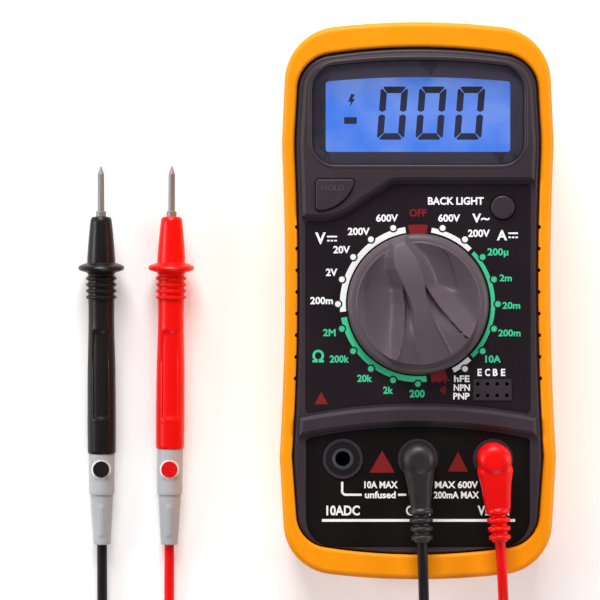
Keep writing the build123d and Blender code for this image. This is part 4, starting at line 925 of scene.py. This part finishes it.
class METER_OT_dial_print(bpy.types.Operator):
    """Prints the coloured arcs, dots, numbers and signs round the selector"""

    bl_idname = "meter.dial_print"
    bl_label = "Dial print"

    def execute(self, context):
        # a dark gap parts each dot from its arc
        dot, gap = (0.78, 0.02), (1.22, 0.015)
        bm = bmesh.new()
        stop_discs(bm, (*WHITE_STOPS, *GREEN_STOPS), *gap)
        finish_piece(piece_from(bm, "dial_ink_gaps", smooth=False), ink("ink_gap", palette().dial, 0.5),
                     "root")
        # the white and green inks glow a little: painted light
        inks = {"white": ink("ink_white", palette().white_ink, 0.45, 0.10),
                "green": ink("ink_green", palette().green_ink, 0.45, 0.04),
                "red": ink("ink_red", palette().red_ink, 0.45)}
        middle = (SELECTOR.x, SELECTOR.y)
        for name, material in inks.items():
            bm = bmesh.new()
            for start, end, wide in ARCS[name]:
                arc_band(bm, middle, sizes().scale_radius, wide * MM, start, end, DIAL_TOP - SUNK,
                         sizes().ink)
            if name == "white":
                stop_discs(bm, WHITE_STOPS, *dot)
                words_on(bm, WHITE_LABELS, DIAL_TOP)
                direct_sign(bm, -23.1, 16.7, 2.7, DIAL_TOP)
                direct_sign(bm, 25.6, 17.6, 2.6, DIAL_TOP)
            elif name == "green":
                stop_discs(bm, GREEN_STOPS, *dot)
                words_on(bm, GREEN_LABELS, DIAL_TOP)
            else:
                words_on(bm, [("OFF", 0.0, 23.7, 2.0, 4.6)], DIAL_TOP)
                # diode sign and sound sign, beside their stop
                plate(bm, [(5.3 * MM, -20.4 * MM), (5.3 * MM, -22.2 * MM), (7.0 * MM, -21.3 * MM)],
                      DIAL_TOP - SUNK, sizes().ink + SUNK)
                bar(bm, 7.25, -21.3, 0.38, 1.9, DIAL_TOP)
                bar(bm, 4.7, -21.3, 1.2, 0.34, DIAL_TOP)
                bar(bm, 8.0, -21.3, 1.2, 0.34, DIAL_TOP)
                for reach in (0.55, 1.15, 1.75):
                    arc_band(bm, (5.6 * MM, -24.0 * MM), reach * MM, 0.34 * MM, 50, 130, DIAL_TOP - SUNK,
                             sizes().ink)
                triangle(bm, -26.0, -26.2, 3.6, 3.2, DIAL_TOP)
            finish_piece(piece_from(bm, f"dial_ink_{name}", smooth=False), material, "root")
        return {"FINISHED"}


PANEL_LABELS = [
    ("10A MAX", -9.9, -49.45, 1.85, 9.0), ("unfused", -10.1, -52.15, 1.85, 8.3),
    ("MAX 600V", 10.4, -49.45, 1.85, 11.6), ("200mA MAX", 10.4, -52.2, 1.85, 12.2),
    ("10ADC", -20.1, -56.35, 2.6, 9.0), ("COM", 0.1, -56.35, 2.6, 6.6), ("VΩmA", 20.4, -56.35, 2.6, 8.6),
]


class METER_OT_panel_print(bpy.types.Operator):
    """Prints the ratings, terminal names, line and bracket of the jack plate"""

    bl_idname = "meter.panel_print"
    bl_label = "Panel print"

    def execute(self, context):
        bm = bmesh.new()
        words_on(bm, PANEL_LABELS, PANEL_TOP)
        bar(bm, 0.2, -59.1, 52.0, 0.72, PANEL_TOP)
        bar(bm, -20.35, -50.1, 0.6, 2.8, PANEL_TOP)
        bar(bm, -17.25, -52.2, 4.3, 0.6, PANEL_TOP)
        arc_band(bm, (-19.35 * MM, -51.2 * MM), 1.0 * MM, 0.6 * MM, 180, 270, PANEL_TOP - SUNK, sizes().ink)
        bar(bm, -4.2, -52.2, 2.2, 0.6, PANEL_TOP)
        finish_piece(piece_from(bm, "panel_ink_white", smooth=False), bpy.data.materials["ink_white"], "root")
        bm = bmesh.new()
        triangle(bm, -9.6, -43.3, 6.9, 5.9, PANEL_TOP)
        triangle(bm, 10.8, -43.3, 5.4, 5.3, PANEL_TOP)
        finish_piece(piece_from(bm, "panel_ink_red", smooth=False), bpy.data.materials["ink_red"], "root")
        return {"FINISHED"}


# ---------------------------------------------------------------- display
def zero_digit(bm, x, y, low):
    """A seven-bar zero: six of its bars are dark, with mitred ends. In millimetres."""
    half_wide, half_tall, thick, gap, slant = 3.7, 7.18, 1.78, 0.09, 0.08
    cap = [(-half_wide + 0.55 + gap, half_tall - 0.30), (-half_wide + 1.05, half_tall),
           (half_wide - 1.05, half_tall), (half_wide - 0.55 - gap, half_tall - 0.30),
           (half_wide - thick - gap, half_tall - thick), (-half_wide + thick + gap, half_tall - thick)]
    post = [(half_wide - 0.35, half_tall - 0.45 - gap), (half_wide, half_tall - 0.95), (half_wide, 0.75),
            (half_wide - thick / 2, 0.32), (half_wide - thick, 0.75),
            (half_wide - thick, half_tall - thick - gap)]
    for bar_shape, flips in ((cap, ((1, 1), (1, -1))), (post, ((1, 1), (1, -1), (-1, 1), (-1, -1)))):
        for flip_x, flip_y in flips:
            corners = [(u * flip_x, v * flip_y) for u, v in bar_shape]
            plate(bm, [((x + u + v * slant) * MM, (y + v) * MM) for u, v in corners], low, sizes().ink)


class METER_OT_display(bpy.types.Operator):
    """Lights the display, with three zeros, a minus sign and a small bolt"""

    bl_idname = "meter.display"
    bl_label = "Display"

    def execute(self, context):
        glow = palette().display
        m = Finish("display_lit")
        place = m.place()
        fall = m.range(m.along(1, place), 53 * MM, 60.5 * MM, 0, 1)
        lit = m.mix(fall, tuple(glow), shade(glow, 0.72))
        cloud = m.noise(90, 3, 0.5, place)
        lit = m.mix(m.range(cloud, 0.35, 0.65, 0, 0.12), lit, (1, 1, 1, 1))
        m.set(Base_Color=shade(glow, 0.06), Emission_Color=lit)
        m.shader.inputs["Emission Strength"].default_value = 0.9
        m.shader.inputs["Specular IOR Level"].default_value = 0.2
        m.shader.inputs["Roughness"].default_value = 0.35
        dress(m.data, "lcd_glass")

        bm = bmesh.new()
        for x in (-6.75, 3.65, 14.05):
            zero_digit(bm, x, 50.6, LCD_TOP)
        bar(bm, -18.1, 48.6, 3.4, 1.8, LCD_TOP)
        bolt = [(0.95, 1.8), (-0.1, 1.8), (-0.95, -0.25), (-0.15, -0.25), (-0.6, -1.8), (0.95, 0.55),
                (0.2, 0.55)]
        plate(bm, [((x - 17.8) * MM, (y + 53.9) * MM) for x, y in bolt], LCD_TOP, sizes().ink)
        dark = ink("segment_dark", (0.004, 0.010, 0.045, 1), 0.4)
        finish_piece(piece_from(bm, "display_segments", smooth=False), dark, "root")
        return {"FINISHED"}


# ---------------------------------------------------------------- case, holster and buttons
class METER_OT_shell(bpy.types.Operator):
    """Finishes the holster, the case, the plates, the window, the sockets and the buttons"""

    bl_idname = "meter.shell"
    bl_label = "Case and holster"

    def execute(self, context):
        p = palette()
        rubber = Finish("holster_rubber")
        place = rubber.place()
        cloud = rubber.noise(38, 4, 0.55, place)
        fine = rubber.noise(2100, 3, 0.6, place)
        scuff = rubber.noise(420, 2, 0.5, place)
        tint = rubber.range(cloud, 0.3, 0.7, 0, 1)
        rubber.set(Base_Color=rubber.mix(tint, shade(p.holster, 0.93), shade(p.holster, 1.04)),
                   Roughness=rubber.range(scuff, 0.3, 0.7, 0.42, 0.56),
                   Normal=rubber.bump(fine, 0.012 * MM, 0.6))
        rubber.shader.inputs["Specular IOR Level"].default_value = 0.2
        rubber.shader.inputs["Coat Weight"].default_value = 0.05
        rubber.shader.inputs["Coat Roughness"].default_value = 0.3
        dress(rubber.data, "holster", "tilt_stand")

        case = moulded("case_plastic", p.case, rough=0.38, grain=2300, depth=0.011, mottle=0.05, coat=0.05)
        dress(case, "front_case", "rear_case", "battery_door")
        dress(moulded("dial_film", p.dial, rough=0.46, grain=3000, depth=0.008, mottle=0.10), "dial_plate")
        dress(moulded("panel_film", p.panel, rough=0.44, grain=3000, depth=0.008, mottle=0.10), "jack_plate")
        dress(moulded("button_plastic", p.case, rough=0.42, grain=2600, depth=0.009), "hold_button",
              "backlight_button")
        dress(moulded("socket_black", (0.012, 0.011, 0.012, 1), rough=0.35), "jack_sleeves")
        dress(moulded("transistor_black", (0.035, 0.028, 0.033, 1), rough=0.42), "transistor_socket")
        dress(metal("socket_metal", (0.34, 0.34, 0.36, 1), 0.30), "input_jacks")
        dress(moulded("mask_ink", (0.035, 0.030, 0.050, 1), rough=0.5), "display_mask")

        glass = Finish("window_clear")
        smear = glass.noise(160, 4, 0.6)
        glass.set(Base_Color=(0.16, 0.15, 0.20, 1), Roughness=glass.range(smear, 0.35, 0.65, 0.06, 0.11),
                  Alpha=glass.range(smear, 0.3, 0.7, 0.04, 0.06))
        dress(glass.data, "display_window")

        # the rounded ridge round the display recess
        low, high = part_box("display_window")
        grow, bow, corner, turn_steps = 0.75 * MM, 2.2 * MM, 6.8 * MM, 10
        half, foot, shoulder = high.x + grow, low.y - grow, high.y + grow - bow
        outline = []
        for cx, cy, start in ((half - corner, foot + corner, -90), (half - corner, shoulder - corner, 0),
                              (corner - half, shoulder - corner, 90), (corner - half, foot + corner, 180)):
            for i in range(turn_steps + 1):
                a = math.radians(start + 90 * i / turn_steps)
                outline.append((cx + corner * math.cos(a), cy + corner * math.sin(a)))
            if start == 0:
                outline += [(half * u, shoulder) for u in (0.5, 0.25, 0, -0.25, -0.5)]
        curve = bpy.data.curves.new("display_ridge", "CURVE")
        curve.dimensions = "3D"
        curve.bevel_depth, curve.bevel_resolution = 0.62 * MM, 4
        spline = curve.splines.new("POLY")
        spline.points.add(len(outline) - 1)
        for point, (x, y) in zip(spline.points, outline):
            rise = bow * (1 - (x / half) ** 2) if y > shoulder - corner else 0
            point.co = (x, y + rise, BEZEL_TOP - 0.42 * MM, 1)
        spline.use_cyclic_u = True
        holder = bpy.data.objects.new("display_ridge", curve)
        context.scene.collection.objects.link(holder)
        context.view_layer.update()
        ridge_mesh = bpy.data.meshes.new_from_object(holder)
        bpy.data.objects.remove(holder)
        bpy.data.curves.remove(curve)
        ridge = bpy.data.objects.new("display_ridge", ridge_mesh)
        context.scene.collection.objects.link(ridge)
        ridge_mesh.shade_smooth()
        finish_piece(ridge, case, "root")

        # raised words on the hold button, in its own plastic
        bm = bmesh.new()
        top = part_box("hold_button")[1].z
        letter(bm, "HOLD", -22.9 * MM, 30.3 * MM, 1.5 * MM, top - 0.05 * MM, 0.16 * MM, 6.0 * MM, 0.02)
        finish_piece(piece_from(bm, "hold_word", smooth=False),
                     moulded("word_plastic", shade(p.case, 1.9), rough=0.5), "hold_button")
        return {"FINISHED"}


class METER_OT_works(bpy.types.Operator):
    """Finishes the pieces inside: circuit board, parts on it, battery, screws and springs"""

    bl_idname = "meter.works"
    bl_label = "Works"

    def execute(self, context):
        steel = metal("screw_steel", (0.62, 0.62, 0.64, 1), 0.26)
        brass = metal("contact_brass", (0.78, 0.60, 0.28, 1), 0.25)
        dress(steel, "case_screws", "battery_door_screw", "pcb_screws", "knob_screw", "stand_hinge_pin",
              "detent_balls", "detent_springs")
        dress(brass, "contact_wipers", "fuse_clips", "shunt_wire")
        dress(metal("fuse_cap", (0.80, 0.79, 0.76, 1), 0.2), "fuse_caps")

        board = Finish("board_green")
        tracks = board.node("ShaderNodeTexBrick", {"offset": 0.37, "squash": 1.4, "squash_frequency": 3},
                            {"Vector": board.place(), "Color1": (0.010, 0.085, 0.030, 1),
                             "Color2": (0.016, 0.120, 0.042, 1), "Mortar": (0.028, 0.180, 0.070, 1),
                             "Scale": 190.0, "Mortar Size": 0.035, "Brick Width": 0.9, "Row Height": 0.42})
        board.set(Base_Color=tracks, Roughness=board.range(board.noise(260), 0.3, 0.7, 0.24, 0.36))
        dress(board.data, "main_pcb")

        jacket = Finish("battery_jacket")
        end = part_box("battery")[1].x
        band = jacket.range(jacket.along(0), end - 14.5 * MM, end - 14.3 * MM, 0, 1)
        jacket.set(Base_Color=jacket.mix(band, (0.028, 0.030, 0.034, 1), (0.60, 0.30, 0.06, 1)),
                   Roughness=jacket.range(jacket.noise(220), 0.3, 0.7, 0.22, 0.32))
        jacket.shader.inputs["Metallic"].default_value = 0.7
        dress(jacket.data, "battery")

        bands = Finish("resistor_body")
        pitch = 0.55 * MM
        stripe = bands.node("ShaderNodeMath", {"operation": "PINGPONG"}, [bands.along(1), pitch]) / pitch
        bands.set(Base_Color=bands.mix(bands.range(stripe, 0.68, 0.74, 0, 1), (0.55, 0.38, 0.20, 1),
                                       (0.16, 0.035, 0.020, 1)),
                  Roughness=bands.range(bands.noise(400), 0.3, 0.7, 0.35, 0.45))
        dress(bands.data, "resistors")

        dress(moulded("sleeve_blue", (0.015, 0.040, 0.160, 1), rough=0.3), "capacitors")
        dress(moulded("resin_black", (0.010, 0.010, 0.011, 1), rough=0.22), "chip_blob")
        dress(moulded("part_black", (0.020, 0.020, 0.022, 1), rough=0.45), "buzzer", "battery_snap",
              "tact_switches")
        dress(moulded("wire_red", (0.55, 0.02, 0.02, 1), rough=0.4), "battery_wires")
        dress(moulded("fuse_glass", (0.62, 0.66, 0.66, 1), rough=0.08), "fuse_tube")
        dress(moulded("holder_white", (0.72, 0.72, 0.70, 1), rough=0.5), "lcd_holder")
        dress(moulded("zebra_rubber", (0.75, 0.45, 0.50, 1), rough=0.6), "zebra_strip")
        dress(moulded("light_guide", (0.80, 0.84, 0.90, 1), rough=0.2), "backlight_panel", "backlight_leds")
        dress(moulded("carrier_white", (0.66, 0.65, 0.61, 1), rough=0.42), "contact_carrier")
        return {"FINISHED"}


# ---------------------------------------------------------------- add-on
OPERATORS = (METER_OT_stage, METER_OT_leads, METER_OT_selector, METER_OT_shell, METER_OT_dial_print,
             METER_OT_panel_print, METER_OT_display, METER_OT_works)


class METER_PT_sidebar(bpy.types.Panel):
    """Lists the meter's pieces, and the sizes and colours that they take"""

    bl_idname = "METER_PT_sidebar"
    bl_label = "Digital multimeter"
    bl_space_type = "VIEW_3D"
    bl_region_type = "UI"
    bl_category = "Meter"

    def draw(self, context):
        for group in (context.scene.meter_colours, context.scene.meter_sizes):
            column = self.layout.column(align=True)
            for name in group.__annotations__:
                column.prop(group, name)
        column = self.layout.column(align=True)
        for operator in OPERATORS:
            column.operator(operator.bl_idname)


CLASSES = (MeterColours, MeterSizes, *OPERATORS, METER_PT_sidebar)


def register():
    for cls in CLASSES:
        bpy.utils.register_class(cls)
    bpy.types.Scene.meter_colours = PointerProperty(type=MeterColours)
    bpy.types.Scene.meter_sizes = PointerProperty(type=MeterSizes)


def unregister():
    del bpy.types.Scene.meter_sizes
    del bpy.types.Scene.meter_colours
    for cls in reversed(CLASSES):
        bpy.utils.unregister_class(cls)


def main():
    register()
    for operator in OPERATORS:
        group, call = operator.bl_idname.split(".")
        getattr(getattr(bpy.ops, group), call)()


if __name__ == "__main__":
    main()
